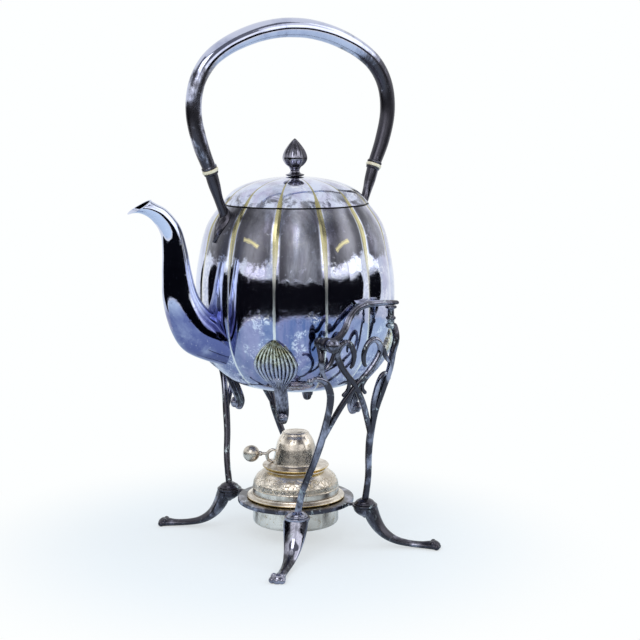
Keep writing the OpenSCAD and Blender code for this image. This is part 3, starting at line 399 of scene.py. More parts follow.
class Layout:
    """The named sizes in millimetres, and the places that follow from them."""

    def __init__(self, scene):
        for key in GROUPS:
            group = getattr(scene, key)
            for prop in group.bl_rna.properties:
                if prop.type in {"FLOAT", "INT"} and not prop.is_array:
                    value = getattr(group, prop.identifier)
                    setattr(self, prop.identifier, value * 1000 if prop.unit == "LENGTH" else value)
        self.top = self.base + self.height
        shares = BODY_LINE * (self.radius, self.height) + (0, self.base)
        self.outline = smooth(np.vstack([shares, (self.seam_radius, self.top)]), 12)
        self.step = 360 / self.lobes
        self.mouth = self.seam_radius - 2.6
        self.lid_z = self.top + LID_GAP
        self.root_z = self.base + 0.3 * self.height
        self.pivot_z = self.base + self.pivot_up
        self.block_side = self.radius + 0.2
        self.eye_side = self.block_side + 8
        self.ball_side = self.eye_side + 4.7 + math.sqrt(self.ball_radius ** 2
                                                         - self.pivot_radius ** 2)
        self.arm_z = self.pivot_z + 24
        self.arm_side = self.radius + self.arm_radius + 1.2
        self.post_side = self.arm_side + 0.6
        self.post_z = self.arm_z - 2.2 - self.post
        self.node_a = self.node_radius * math.cos(self.node_angle)
        self.node_b = self.node_radius * math.sin(self.node_angle)
        self.panel_top = self.block_side + 9
        self.frame_low = self.ring_height + 4.2
        self.ring_in = self.pan_radius + self.burner_gap
        self.rim_z = self.ring_height + REST_GAP
        self.shoulder_z = self.rim_z + 3.4
        self.neck_z = self.shoulder_z + 20
        self.neck_r = self.snuffer_radius + 7.4
        self.brim_z = self.neck_z + REST_GAP

    def body_radius(self, z):
        """The radius over the lobes' crowns at a height."""
        return np.interp(z, self.outline[:, 1], self.outline[:, 0])

    def in_lobe(self, th):
        """-1 to 1 across a lobe, 0 on its crown."""
        return (th - self.step * np.round(th / self.step)) * 2 / self.step

    def lobed(self, r, depth, th):
        """r - depth w^2.4, where w is the share of the way from the crown to the seam. The seam's
        bottom is rounded over a millimetre."""
        w = 1 - np.sqrt((1 - np.abs(self.in_lobe(th))) ** 2 + 0.0016)
        return r - depth * np.abs(w) ** 2.4

    def surface_r(self, th, z):
        """The body's radius at an angle and a height, lobes counted."""
        share = np.interp((z - self.base) / self.height, *SEAM_SHARE)
        return self.lobed(self.body_radius(z), self.lobe_depth * share, th)

    def on_body(self, th, z, h):
        """The point at height h square above the body's surface."""
        k = (self.body_radius(z + 1) - self.body_radius(z - 1)) / 2
        q = np.sqrt(1 + k * k)
        return round_at(th, self.surface_r(th, z) + h / q, z - h * k / q)

    def columns(self, per_lobe=20):
        """Angles that crowd toward the seams: w = sin(pi x / 2) for even steps of x."""
        w = np.sin(np.linspace(-1, 1, per_lobe, endpoint=False) * math.pi / 2)
        return (np.arange(self.lobes)[:, None] * self.step + w * self.step / 2).ravel()

    def arch(self, i):
        """The handle's station i: forward and up."""
        return ARCH_LINE[i] * (self.handle_half, self.handle_rise) + (0, self.top)

    def panel(self, a, t, r, r2=None):
        """A station of the right side frame: forward a, share t of the way up, radius r."""
        b = self.node_b + (self.panel_top - self.node_b) * np.interp(t, *PANEL_LEAN)
        z = self.frame_low + (self.pivot_z - self.frame_low) * t
        return [*place(a, b, z), r, r if r2 is None else r2]

    def nodes(self):
        """The four nodes of the ring, forward and sideways."""
        return [(sa * self.node_a, sb * self.node_b) for sa in (-1, 1) for sb in (-1, 1)]


class Nodes:
    """The node tree of a world or a material, cleared but for its output."""

    def __init__(self, owner, output="OutputMaterial"):
        owner.use_nodes = True
        self.owner, self.tree = owner, owner.node_tree
        self.tree.nodes.clear()
        self.out = self.add(output)

    def add(self, kind, values=None, **settings):
        """A node with its settings, and its inputs fed."""
        node = self.tree.nodes.new("ShaderNode" + kind)
        for key, value in settings.items():
            setattr(node, key, value)
        for key, value in (values or {}).items():
            self.feed(node.inputs[key], value)
        return node

    def feed(self, socket, value):
        """Links another node's output to the input, or sets its value."""
        if isinstance(value, bpy.types.NodeSocket):
            self.tree.links.new(value, socket)
        else:
            socket.default_value = value

    def end(self, shader):
        """Links the shader to the output, and gives back the world or material."""
        self.feed(self.out.inputs[0], shader.outputs[0])
        return self.owner

    def step(self, value, low, high, start=0.0, end=1.0):
        """A smooth way from start to end, while the value goes from low to high."""
        return self.add("MapRange", {"Value": value, "From Min": low, "From Max": high,
                                     "To Min": start, "To Max": end},
                        interpolation_type="SMOOTHSTEP").outputs[0]

    def calc(self, kind, a, b=0.0, c=0.0):
        """One step of arithmetic. fma is a b + c, and size the value without its sign."""
        return self.add("Math", {0: a, 1: b, 2: c}, operation=kind).outputs[0]

    times = partialmethod(calc, "MULTIPLY")
    plus = partialmethod(calc, "ADD")
    minus = partialmethod(calc, "SUBTRACT")
    fma = partialmethod(calc, "MULTIPLY_ADD")
    size = partialmethod(calc, "ABSOLUTE")
    sine = partialmethod(calc, "SINE")


class Finish(Nodes):
    """A material's nodes. Every pattern is read from Object coordinates, in metres."""

    def __init__(self, name, base, rough, metal=1.0):
        super().__init__(bpy.data.materials.new(name))
        self.shader = self.add("BsdfPrincipled", {"Base Color": (*base, 1), "Roughness": rough,
                                                  "Metallic": metal})
        self.end(self.shader)
        self.spot = self.add("TexCoord").outputs["Object"]

    def noise(self, scale, detail=4.0, rough=0.6, stretch=(1, 1, 1), warp=0.0):
        """A cloudy pattern from 0 to 1. A small share in stretch draws it out that way."""
        where = self.add("Mapping", {"Vector": self.spot, "Scale": stretch}).outputs[0]
        return self.add("TexNoise", {"Vector": where, "Scale": scale, "Detail": detail,
                                     "Roughness": rough, "Distortion": warp}).outputs["Fac"]

    def mix(self, share, a, b):
        """The colour that goes from a to b with the share."""
        node = self.add("Mix", {0: share}, data_type="RGBA")
        for socket, value in ((6, a), (7, b)):
            plain = not isinstance(value, bpy.types.NodeSocket)
            self.feed(node.inputs[socket], (*value, 1) if plain else value)
        return node.outputs[2]

    def axis_parts(self):
        """x and y from the kettle's axis, and z, in metres."""
        node = self.add("SeparateXYZ", {0: self.spot})
        return self.minus(node.outputs[0], AXIS * 0.001), node.outputs[1], node.outputs[2]

    def along(self, x, y, way):
        """How far x and y lie along a way over the floor."""
        return self.fma(x, way[0], self.times(y, way[1]))

    def set(self, colour, rough, height, depth, strength):
        """The finish's colour, roughness and fine relief, depth metres deep."""
        self.feed(self.shader.inputs["Base Color"], colour)
        if rough is not None:
            self.feed(self.shader.inputs["Roughness"], rough)
        bump = self.add("Bump", {"Height": height, "Distance": depth, "Strength": strength})
        self.feed(self.shader.inputs["Normal"], bump.outputs[0])
        return self.owner


# Settings of the silver finishes, and of the plain stained ones.
SILVER = {
    "lobed_plate": dict(wear=0.6, body=True),
    "spout_plate": dict(wear=0.7, haze=0.2, base=(0.6, 0.65, 0.82), tarnish=(0.13, 0.15, 0.34),
                        low=True),
    "handle_plate": dict(wear=0.6, base=(0.56, 0.59, 0.74), film=(0.42, 0.56), rear=0.13),
    "rod_plate": dict(wear=0.8, base=(0.36, 0.37, 0.47), tarnish=(0.05, 0.05, 0.085),
                      film=(0.36, 0.52), flakes=0.8),
    "leg_plate": dict(wear=0.8, base=(0.42, 0.42, 0.52), tarnish=(0.06, 0.06, 0.095),
                      film=(0.37, 0.54), flakes=0.25),
    "leaf_plate": dict(wear=0.9, haze=0.6, base=(0.3, 0.3, 0.38), tarnish=(0.04, 0.04, 0.06),
                       film=(0.3, 0.46)),
}
STAINED = {
    "tinned_inside": dict(clean=(0.55, 0.55, 0.58), stain=(0.26, 0.23, 0.2), rough=(0.3, 0.5),
                          pattern=(35, 6, 0.65), limits=(0.35, 0.65), relief=(300, 5),
                          depth=0.0002, strength=0.5),
    "bare_brass": dict(stain=(0.2, 0.13, 0.06), rough=(0.2, 0.45), pattern=(120, 5),
                       limits=(0.4, 0.65), relief=(700, 3), depth=0.0001, strength=0.4),
    "ivory": dict(stain=(0.55, 0.46, 0.28), rough=0.35, metal=0.0, pattern=(180, 5, 0.6, (1, 1, 5)),
                  limits=(0.4, 0.7), relief=(900, 3), depth=0.00008, strength=0.4),
    "cotton": dict(stain=(0.42, 0.38, 0.3), rough=0.9, metal=0.0,
                   pattern=(700, 3, 0.5, (1, 1, 0.25)), limits=(0.35, 0.65), depth=0.0004,
                   strength=0.8),
}


def silver(name, wear, haze=0.5, body=False, base=None, tarnish=None, film=None, flakes=0.0,
           rear=0.0, low=False):
    """Old silver plate: blue-violet tarnish in clouds, small mottled spots of wear, pale flecks and
    a hammered unevenness. film is a low and a high limit for the clouds of dull black tarnish, and
    rear brings more of it on the limb behind the lid, as painted shade, and none at the arch's top,
    as a painted highlight. flakes is the share of pale grey flakes. low makes the plate darker and
    bluer near the bottom of the body and the spout. The body's plate has a deep blue patch on the
    lobe that faces the camera, a painted dark reflection, violet streaks and pale lace besides what
    body_wear gives it."""
    c = bpy.context.scene.kettle_stage
    base, tarnish = base or c.plate, tarnish or c.tarnish
    f = Finish(name, base, 0.1)
    clouds = f.step(f.noise(24, 5, 0.62, warp=0.4), 0.4, 0.64)
    spots = f.step(f.noise(210, 7, 0.72, warp=0.6), 0.56, 0.68)
    flecks = f.step(f.noise(620, 4, 0.6), 0.62, 0.72)
    shade = f.fma(clouds, 0.55 * wear + 0.1, f.times(spots, 0.35 * wear))
    if body or low:
        x, y, z = f.axis_parts()
        # Darker and bluer below a height, on the body and the spout.
        shade = f.plus(shade, f.step(z, 0.18, 0.192, 0.5, 0.0))
    hue = f.mix(f.step(shade, 0, 1), base, tarnish)
    if body:
        # Painted dark reflection: deep blue on the lower part of the lobe that faces the camera.
        deep = f.times(f.step(f.along(x, y, LOBE_WAY), 0.063, 0.0725, 0.0, 0.85),
                       f.step(z, 0.18, 0.19, 1.0, 0.0))
        deep = f.times(deep, f.step(f.noise(60, 5, 0.6, (1, 1, 0.3)), 0.36, 0.55, 0.45, 1.0))
        hue = f.mix(deep, hue, (0.07, 0.13, 0.32))
        hue = f.mix(f.step(f.noise(85, 4, 0.6, (1, 1, 0.09)), 0.44, 0.62, 0.0, 0.42), hue,
                    (0.44, 0.38, 0.58))
        lace = f.times(f.step(f.noise(300, 8, 0.78, warp=1.2), 0.5, 0.57),
                       f.step(f.noise(46, 4, 0.6), 0.5, 0.6, 0.0, 0.75))
        hue = f.mix(lace, hue, (0.9, 0.93, 1.0))
    hue = f.mix(f.times(flecks, 0.5 * wear), hue, (0.93, 0.94, 1.0))
    rough = f.fma(f.times(clouds, spots), 0.26 * haze, 0.04 + 0.05 * haze)
    if film:
        x, y, z = f.axis_parts()
        # rear paints shade on the limb behind the lid with more dark film, and a highlight at the
        # arch's top with none.
        lean = f.plus(f.step(x, 0.0, 0.08, 0.0, rear), f.step(z, 0.345, 0.385, 0.0, -1.7 * rear))
        patch = f.step(f.plus(f.noise(38, 7, 0.68, (1, 1, 0.6), 0.5), lean), *film)
        hue = f.mix(patch, hue, (0.06, 0.058, 0.072))
        rough = f.fma(patch, 0.22, rough)
    if flakes:
        flake = f.times(f.step(f.noise(120, 6, 0.75, (1, 1, 0.55), 1.0), 0.585, 0.64), flakes)
        hue = f.mix(flake, hue, (0.62, 0.72, 0.76))
        rough = f.fma(flake, 0.3, rough)
    if body:
        hue, rough = body_wear(f, c, x, y, z, spots, hue, rough)
    uneven = f.fma(f.noise(1500, 2, 0.5), 0.06, f.noise(70, 3, 0.5))
    pits = f.fma(spots, -0.12 * wear, uneven)
    return f.set(hue, rough, pits, 0.00035, 0.3)


def body_wear(f, c, x, y, z, spots, hue, rough):
    """What the lobes have besides: dull smoky crowns from the lid down, partly tarnish and partly a
    painted reflection of the dark room, which reach lowest on the lobe that faces the camera and
    fade on the lobes at either side of it as the camera sees them, brass in the seams that is broad
    near the lid and thin lower down, two curved pale brass streaks that are painted lamp
    reflections, and a painted shadow line in the gap where lid and body meet. Across a lobe w goes
    from 0 in its seams to 1 on its crown."""
    turn = f.times(f.calc("ARCTAN2", y, x), bpy.context.scene.kettle_body.lobes / TURN)
    w = f.times(f.size(f.minus(f.calc("FRACT", turn), 0.5)), 2.0)
    # The dark film, partly tarnish and partly a painted reflection of the dark room, reaches lowest
    # on the lobe that faces the camera.
    reach = f.step(f.along(x, y, LOBE_WAY), 0.067, 0.0705, 0.0, 0.0145)
    edge = f.fma(f.noise(42, 2, 0.5, (1, 1, 0.1)), 0.022, f.times(f.noise(230, 6, 0.7), 0.02))
    low = f.minus(f.plus(z, f.minus(edge, 0.021)), f.minus(0.2205, reach))
    film = f.times(f.step(low, -0.001, 0.005), f.step(w, 0.1, 0.24))
    film = f.times(film, f.step(f.noise(33, 6, 0.66, (1, 1, 0.35), 0.4), 0.3, 0.52, 0.62, 1.0))
    # Painted reflection: the film fades where the lobes turn sideways to the camera.
    film = f.times(film, f.step(f.size(f.along(x, y, CAMERA_WAY)), 0.016, 0.032, 0.15, 1.0))
    lid = f.step(z, SEAM_LOW, SEAM_HIGH)
    dull = f.times(f.step(z, 0.262, 0.271, 0.9, 0.25),
                   f.step(f.noise(70, 6, 0.7, warp=0.6), 0.47, 0.6))
    film = f.plus(f.times(film, f.minus(1.0, lid)), f.times(lid, dull))
    film = f.times(film, f.step(spots, 0.0, 1.0, 1.0, 0.72))
    crown = f.times(f.step(w, 0.35, 0.95), f.step(f.noise(75, 6, 0.65, (1, 1, 0.3)), 0.36, 0.62,
                                                  0.25, 1.0))
    smoky_tarnish_and_reflection = f.mix(crown, (0.045, 0.043, 0.052), (0.25, 0.25, 0.285))
    hue = f.mix(f.times(film, 0.94), hue, smoky_tarnish_and_reflection)
    rough = f.fma(film, 0.3, rough)
    wide = f.times(f.step(z, 0.196, 0.246, 0.06, 0.155), f.step(z, SEAM_HIGH, 0.27, 1.0, 0.45))
    ragged = f.fma(f.minus(f.noise(130, 3), 0.5), 0.05, w)
    line = f.minus(1.0, f.step(f.calc("DIVIDE", ragged, wide), 0.75, 1.0))
    brassy = f.mix(f.step(z, 0.2, 0.236), (0.86, 0.87, 0.84), c.bare_brass)
    hue = f.mix(f.times(line, 0.92), hue, brassy)
    rough = f.fma(line, 0.16, rough)
    # Two curved pale brass streaks: painted lamp reflections.
    for centre, along, across, half in (((-0.0574, -0.0334, 0.2352), (0.38, -0.84, -0.38),
                                         (0.12, -0.35, 0.93), 0.0070),
                                        ((-0.0047, -0.0669, 0.2334), (0.86, -0.06, 0.51),
                                         (-0.51, 0.03, 0.86), 0.0064)):
        near = f.add("VectorMath", {0: f.spot, 1: (centre[0] + AXIS * 0.001, *centre[1:])},
                     operation="SUBTRACT").outputs[0]
        u, v = (f.add("VectorMath", {0: near, 1: way}, operation="DOT_PRODUCT").outputs["Value"]
                for way in (along, across))
        u = f.size(u)
        bent = f.size(f.fma(f.times(u, u), 26.0, v))
        rag = f.fma(f.noise(330, 5, 0.7), 0.005, -0.0025)
        lamp_reflection_streak = f.times(f.step(f.plus(u, rag), half - 0.0008, half, 1.0, 0.0),
                       f.step(f.fma(rag, 0.5, bent), 0.001, 0.0017, 1.0, 0.0))
        lamp_reflection_streak = f.times(lamp_reflection_streak, f.step(f.sine(f.times(bent, 5200.0)), -0.9, -0.2, 0.35, 1.0))
        hue = f.mix(f.times(lamp_reflection_streak, 0.9), hue, (0.86, 0.78, 0.44))
        rough = f.fma(lamp_reflection_streak, 0.1, rough)
    # A painted shadow line in the gap between lid and body.
    gap = f.step(f.size(f.minus(z, (SEAM_LOW + SEAM_HIGH) / 2)), 0.0004, 0.0007, 1.0, 0.0)
    hue = f.mix(gap, hue, (0.012, 0.012, 0.014))
    return hue, f.fma(gap, 0.3, rough)


def shell_plate(name):
    """The shells: worn pale brass on the ridges toward the rim, blue-grey plate lower down, and
    black in the grooves between the flutes, tarnish with painted shade, which follow the fan's own
    map."""
    f = Finish(name, bpy.context.scene.kettle_stage.plate, 0.3)
    z, flutes = f.axis_parts()[2], bpy.context.scene.kettle_handle.shell_flutes
    uv = f.add("SeparateXYZ", {0: f.add("TexCoord").outputs["UV"]})
    across = f.fma(uv.outputs[0], 4.0, -1.0)
    flute = f.size(f.calc("COSINE", f.times(across, flutes * math.pi / 2)))
    ragged = f.fma(f.minus(f.noise(300, 6, 0.75, warp=0.6), 0.47), f.step(z, 0.14, 0.165, 1.2, 3.0),
                   flute)
    worn = f.step(f.fma(f.noise(150, 5, 0.7), 0.03, z), 0.158, 0.172)
    hue = f.mix(worn, (0.34, 0.36, 0.5), f.mix(f.step(f.noise(330, 4), 0.42, 0.6), (0.8, 0.8, 0.66),
                                               (0.46, 0.44, 0.26)))
    # Dark grooves between the flutes: tarnish with painted shade in the hollows, darker lower down.
    groove = f.step(ragged, 0.16, 0.56, 1.0, 0.0)
    hue = f.mix(f.times(groove, f.step(z, 0.15, 0.168, 0.92, 0.72)), hue, (0.035, 0.035, 0.04))
    scales = f.times(f.step(f.noise(340, 6, 0.78, warp=0.8), 0.47, 0.56),
                     f.step(z, 0.142, 0.162, 0.3, 0.95))
    hue = f.mix(scales, hue, (0.88, 0.9, 0.84))
    rough = f.fma(groove, 0.2, f.step(f.noise(400, 4), 0.3, 0.7, 0.2, 0.42))
    return f.set(hue, rough, f.plus(flute, f.noise(420, 5, 0.7)), 0.0004, 0.5)


def warm_plate(name, engraved=False):
    """Warm pale plate on brass: soft clouds, upright streaks, fine turning lines round the axis,
    brass in spots and on two edges, and on the shoulder a worn engraving of curls."""
    plate_hue, m = bpy.context.scene.kettle_stage.pale_plate, Layout(bpy.context.scene)
    f = Finish(name, plate_hue, 0.24)
    z = f.axis_parts()[2]
    clouds = f.step(f.noise(60, 5, 0.6), 0.38, 0.64)
    spots = f.step(f.noise(330, 6, 0.7), 0.55, 0.68)
    hue = f.mix(f.times(clouds, 0.55), plate_hue, (0.33, 0.3, 0.25))
    hue = f.mix(f.times(spots, 0.75), hue, (0.4, 0.3, 0.12))
    hue = f.mix(f.step(f.noise(75, 3, 0.5, (1, 1, 0.07)), 0.5, 0.6, 0.0, 0.55), hue,
                (0.4, 0.35, 0.3))
    rough = f.fma(spots, 0.2, f.fma(clouds, 0.12, 0.2))
    for edge in (m.brim_z + 0.4, m.rim_z + 0.3):
        band = f.step(f.size(f.minus(z, edge * 0.001)), 0.0006, 0.0011, 1.0, 0.0)
        hue = f.mix(band, hue, (0.72, 0.5, 0.16))
    lines = f.sine(f.times(z, 9000.0))
    height = f.fma(lines, 0.04, f.noise(240, 4))
    if engraved:
        curls = f.add("TexVoronoi", {"Vector": f.spot, "Scale": 210.0, "Randomness": 0.9},
                      feature="DISTANCE_TO_EDGE").outputs[0]
        rings = f.add("TexVoronoi", {"Vector": f.spot, "Scale": 150.0}).outputs["Distance"]
        swirl = f.step(f.size(f.sine(f.times(rings, 26.0))), 0.0, 0.35)
        cut = f.times(swirl, f.step(curls, 0.0, 0.05))
        band = f.times(f.step(z, 0.0405, 0.0425), f.minus(1.0, f.step(z, 0.0505, 0.0525)))
        groove = f.times(f.minus(1.0, cut), band)
        hue = f.mix(f.times(groove, 0.7), hue, (0.3, 0.22, 0.1))
        height = f.fma(groove, -2.5, height)
    return f.set(hue, rough, height, 0.00025, 0.4)


def stained(name, stain, rough, pattern, limits, depth, strength, clean=None, relief=None,
            metal=1.0):
    """A plain finish with stains where the pattern passes its limits. Its clean colour, unless
    given, is the setting of the same name. A range of roughness follows the stains, and the
    relief is a noise of its own or the stains themselves."""
    clean = clean or getattr(bpy.context.scene.kettle_stage, name)
    even = isinstance(rough, float)
    f = Finish(name, clean, rough if even else rough[0], metal)
    share = f.step(f.noise(*pattern), *limits)
    return f.set(f.mix(share, clean, stain), None if even else f.step(share, 0, 1, *rough),
                 f.noise(*relief) if relief else share, depth, strength)


def finish(name):
    """The finish of that name, made once."""
    known = bpy.data.materials.get(name)
    if known:
        return known
    if name in SILVER:
        return silver(name, **SILVER[name])
    if name in STAINED:
        return stained(name, **STAINED[name])
    if name == "shell_plate":
        return shell_plate(name)
    return warm_plate(name, engraved=name == "engraved_plate")


class Maker:
    """What the operators share."""
    bl_options = {"REGISTER"}

    def execute(self, context):
        """Makes the operator's pieces from the sizes in the scene."""
        self.make(Layout(context.scene))
        return {"FINISHED"}


class KETTLE_OT_body(Maker, bpy.types.Operator):
    """Makes the lobed body, with its mouth, its inner wall and the strainer's holes"""
    bl_idname = "kettle.body"
    bl_label = "Body"

    def make(self, m):
        th = m.columns()
        z = m.outline[:, 1:]
        share = np.interp((z - m.base) / m.height, *SEAM_SHARE)
        outer = round_at(th, m.lobed(m.outline[:, :1], m.lobe_depth * share, th), z)
        lip = round_at(th, m.mouth, np.array([[m.top - 0.02], [m.top - m.wall]]))
        edge = round_at(th, m.seam_radius - 0.7 + 0 * th, np.array([[m.top + 0.12]]))
        middle = np.array([0, m.base + 0.55 * m.height])
        d = m.outline[::-3] - middle
        wall = middle + d * (1 - m.wall / np.linalg.norm(d, axis=1, keepdims=True))
        wall_z = np.minimum(wall[:, 1:], m.top - 1.4)
        share = np.interp((wall_z - m.base) / m.height, *SEAM_SHARE)
        inner = round_at(th, m.lobed(wall[:, :1], m.lobe_depth * share, th), wall_z)
        shell = grid(np.concatenate([outer, edge, lip, inner]), inner=len(outer) + 1)
        body = piece("lobed_body", [shell], ["lobed_plate", "tinned_inside"], None, sharp=16)
        k, spread = np.arange(7), 8.5
        side = np.where(k, spread * np.cos(k * TURN / 6), 0)
        up = np.where(k, spread * np.sin(k * TURN / 6), 0)
        hole = turned([[m.strainer, 40], [m.strainer, m.radius + 12]], 24)
        holes = [move(hole, place(0, s, m.root_z + h), (-1, 0, 0), (0, 1, 0)) for s,
                 h in zip(side, up)]
        cutter = piece("cutter", holes, ["tinned_inside"], None)
        cut = body.modifiers.new("holes", "BOOLEAN")
        cut.object, cut.operation, cut.solver = cutter, "DIFFERENCE", "EXACT"
        bpy.context.view_layer.update()
        graph = bpy.context.evaluated_depsgraph_get()
        whole = bpy.data.meshes.new_from_object(body.evaluated_get(graph))
        body.modifiers.clear()
        body.data = whole
        bpy.data.objects.remove(cutter)
        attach(body, "kettle")
        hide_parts("kettle_body")


class KETTLE_OT_spout(Maker, bpy.types.Operator):
    """Makes the spout, from its root on the body to its beaked lip"""
    bl_idname = "kettle.spout"
    bl_label = "Spout"

    def make(self, m):
        root, mouth = m.root_z, m.base + m.spout_rise
        line = np.array([[81, root + 7, 40, 17.6, 16.4], [91, root + 17.5, 58, 15.6, 14.6],
                         [98.2, root + 34, 76, 13, 12.2], [100.8, root + 51, 83, 10.9, 10.4],
                         [102.3, root + 69, 84, 8.9, 8.8], [105.6, mouth - 17.5, 68, 7.5, 7.7],
                         [114, mouth - 6.5, 57, 6.6, 6.7], [123, mouth - 1.4, 62, 6.6, 5.9],
                         [m.spout_reach - 7.6, mouth, 66, 8.1, 5.3]])
        q = np.arange(40) * TURN / 40

        def ring(p, thin):
            """Round a section, less the wall: forward a - sin(lean) h cos(q), sideways w sin(q) and
            up z + cos(lean) h cos(q)."""
            lean = np.radians(p[..., 2:3])
            h = (p[..., 3:4] - thin) * np.cos(q)
            return place(p[..., :1] - np.sin(lean) * h, (p[..., 4:5] - thin) * np.sin(q),
                         p[..., 1:2] + np.cos(lean) * h)

        def root_ring(thin):
            """The oval on the body where the spout starts, just under the body's surface."""
            b, z = (17 - thin) * np.sin(q), root + (m.root_half - thin) * np.cos(q)
            th = np.degrees(np.arcsin(b / m.body_radius(z)))
            r = m.surface_r(th, z) - 0.15
            return place(np.sqrt(r * r - b * b), b, z)[None]

        run = smooth(line, 8)
        outer = smooth(np.concatenate([root_ring(0), ring(line, 0)]), 8)
        inner = smooth(np.concatenate([root_ring(m.spout_wall), ring(line, m.spout_wall)]), 8)
        share = np.clip((np.arange(len(run)) - len(run) + 14) / 13, 0, 1)[:, None] ** 2
        beak = share * (1 - np.cos(q)) ** 2 / 4
        curl = share * np.clip(np.cos(q), 0, 1) ** 2
        reach = np.stack([-1.6 * beak + 1.2 * curl, 0 * beak, -1.5 * beak + 1.1 * curl], -1)
        outer[-len(run):] += reach
        inner[-len(run):] += reach
        rim = outer[-1:] * 0.5 + inner[-1:] * 0.5 + (outer[-1:] - outer[-2:-1]) * 0.45
        swell = (outer[-1:] - outer[-1].mean(0)) * 0.035
        loop = np.concatenate([outer[:-1], outer[-1:] + swell, rim + swell, inner[::-1]])
        piece("spout_shell", [grid(loop, ring=True)], ["spout_plate"], "kettle", ["spout"],
              sharp=50)


class KETTLE_OT_lid(Maker, bpy.types.Operator):
    """Makes the lobed lid and the fluted bud on it, and dresses the bud's nut and the hinge"""
    bl_idname = "kettle.lid"
    bl_label = "Lid and bud"

    def make(self, m):
        th = m.columns()
        line = smooth(LID_LINE * (m.seam_radius, m.lid_rise) + (0, m.lid_z), 12)
        share = 0.45 * curve([[0.04, 0], [0.2, 0.35], [0.6, 1], [1, 1]],
                             line[:, :1] / m.seam_radius)
        outer = round_at(th, m.lobed(line[:, :1], m.lobe_depth * share, th), line[:, 1:])
        skirt = m.mouth - 0.7
        hem = m.lid_z - m.skirt
        r = np.array([[skirt, m.lid_z], [skirt - 0.1, hem], [skirt - 1, hem]])
        inside = np.clip(line[::-4] + (-1.2, -1.1), (2.4, m.lid_z + 0.8), (skirt - 1.1, 999))
        inside = np.concatenate([r, inside])
        under = round_at(th, inside[:, :1], inside[:, 1:])
        dome = grid(np.concatenate([outer, under]), inner=len(outer) + 3)
        piece("lobed_lid", [dome], ["lobed_plate", "tinned_inside"], "lid", ["lid"], sharp=16)
        z0 = m.lid_z + m.lid_rise + 0.1
        bud = smooth(BUD_LINE * (m.bud_radius, m.bud_height - 2) + (0, z0 + 4), 6)
        flange = soften([[0, 0], [5.2, 0], [7, 0.7], [7, 1.5], [4.6, 2.1], [3.4, 3.6], [3.6, 5.2],
                         [4.6, 6.9], [4.6, 7.6], [0, 9]], 0.9) + (0, z0)
        stem = np.array([[1.6, z0 - 9], [1.6, z0 + 1]])
        parts = [move(turned(bud, 128, m.bud_flutes, 0.13), (AXIS, 0, 0)), upright(flange, 96),
                 upright(stem, 24)]
        piece("fluted_bud", parts, ["leg_plate"], "lid", ["lid_finial"])
        dress("finial_nut", "bare_brass")
        for node in ("lid_hinge_plate", "body_hinge_plate"):
            dress(node, "handle_plate")
        dress("lid_hinge_pin", "rod_plate")


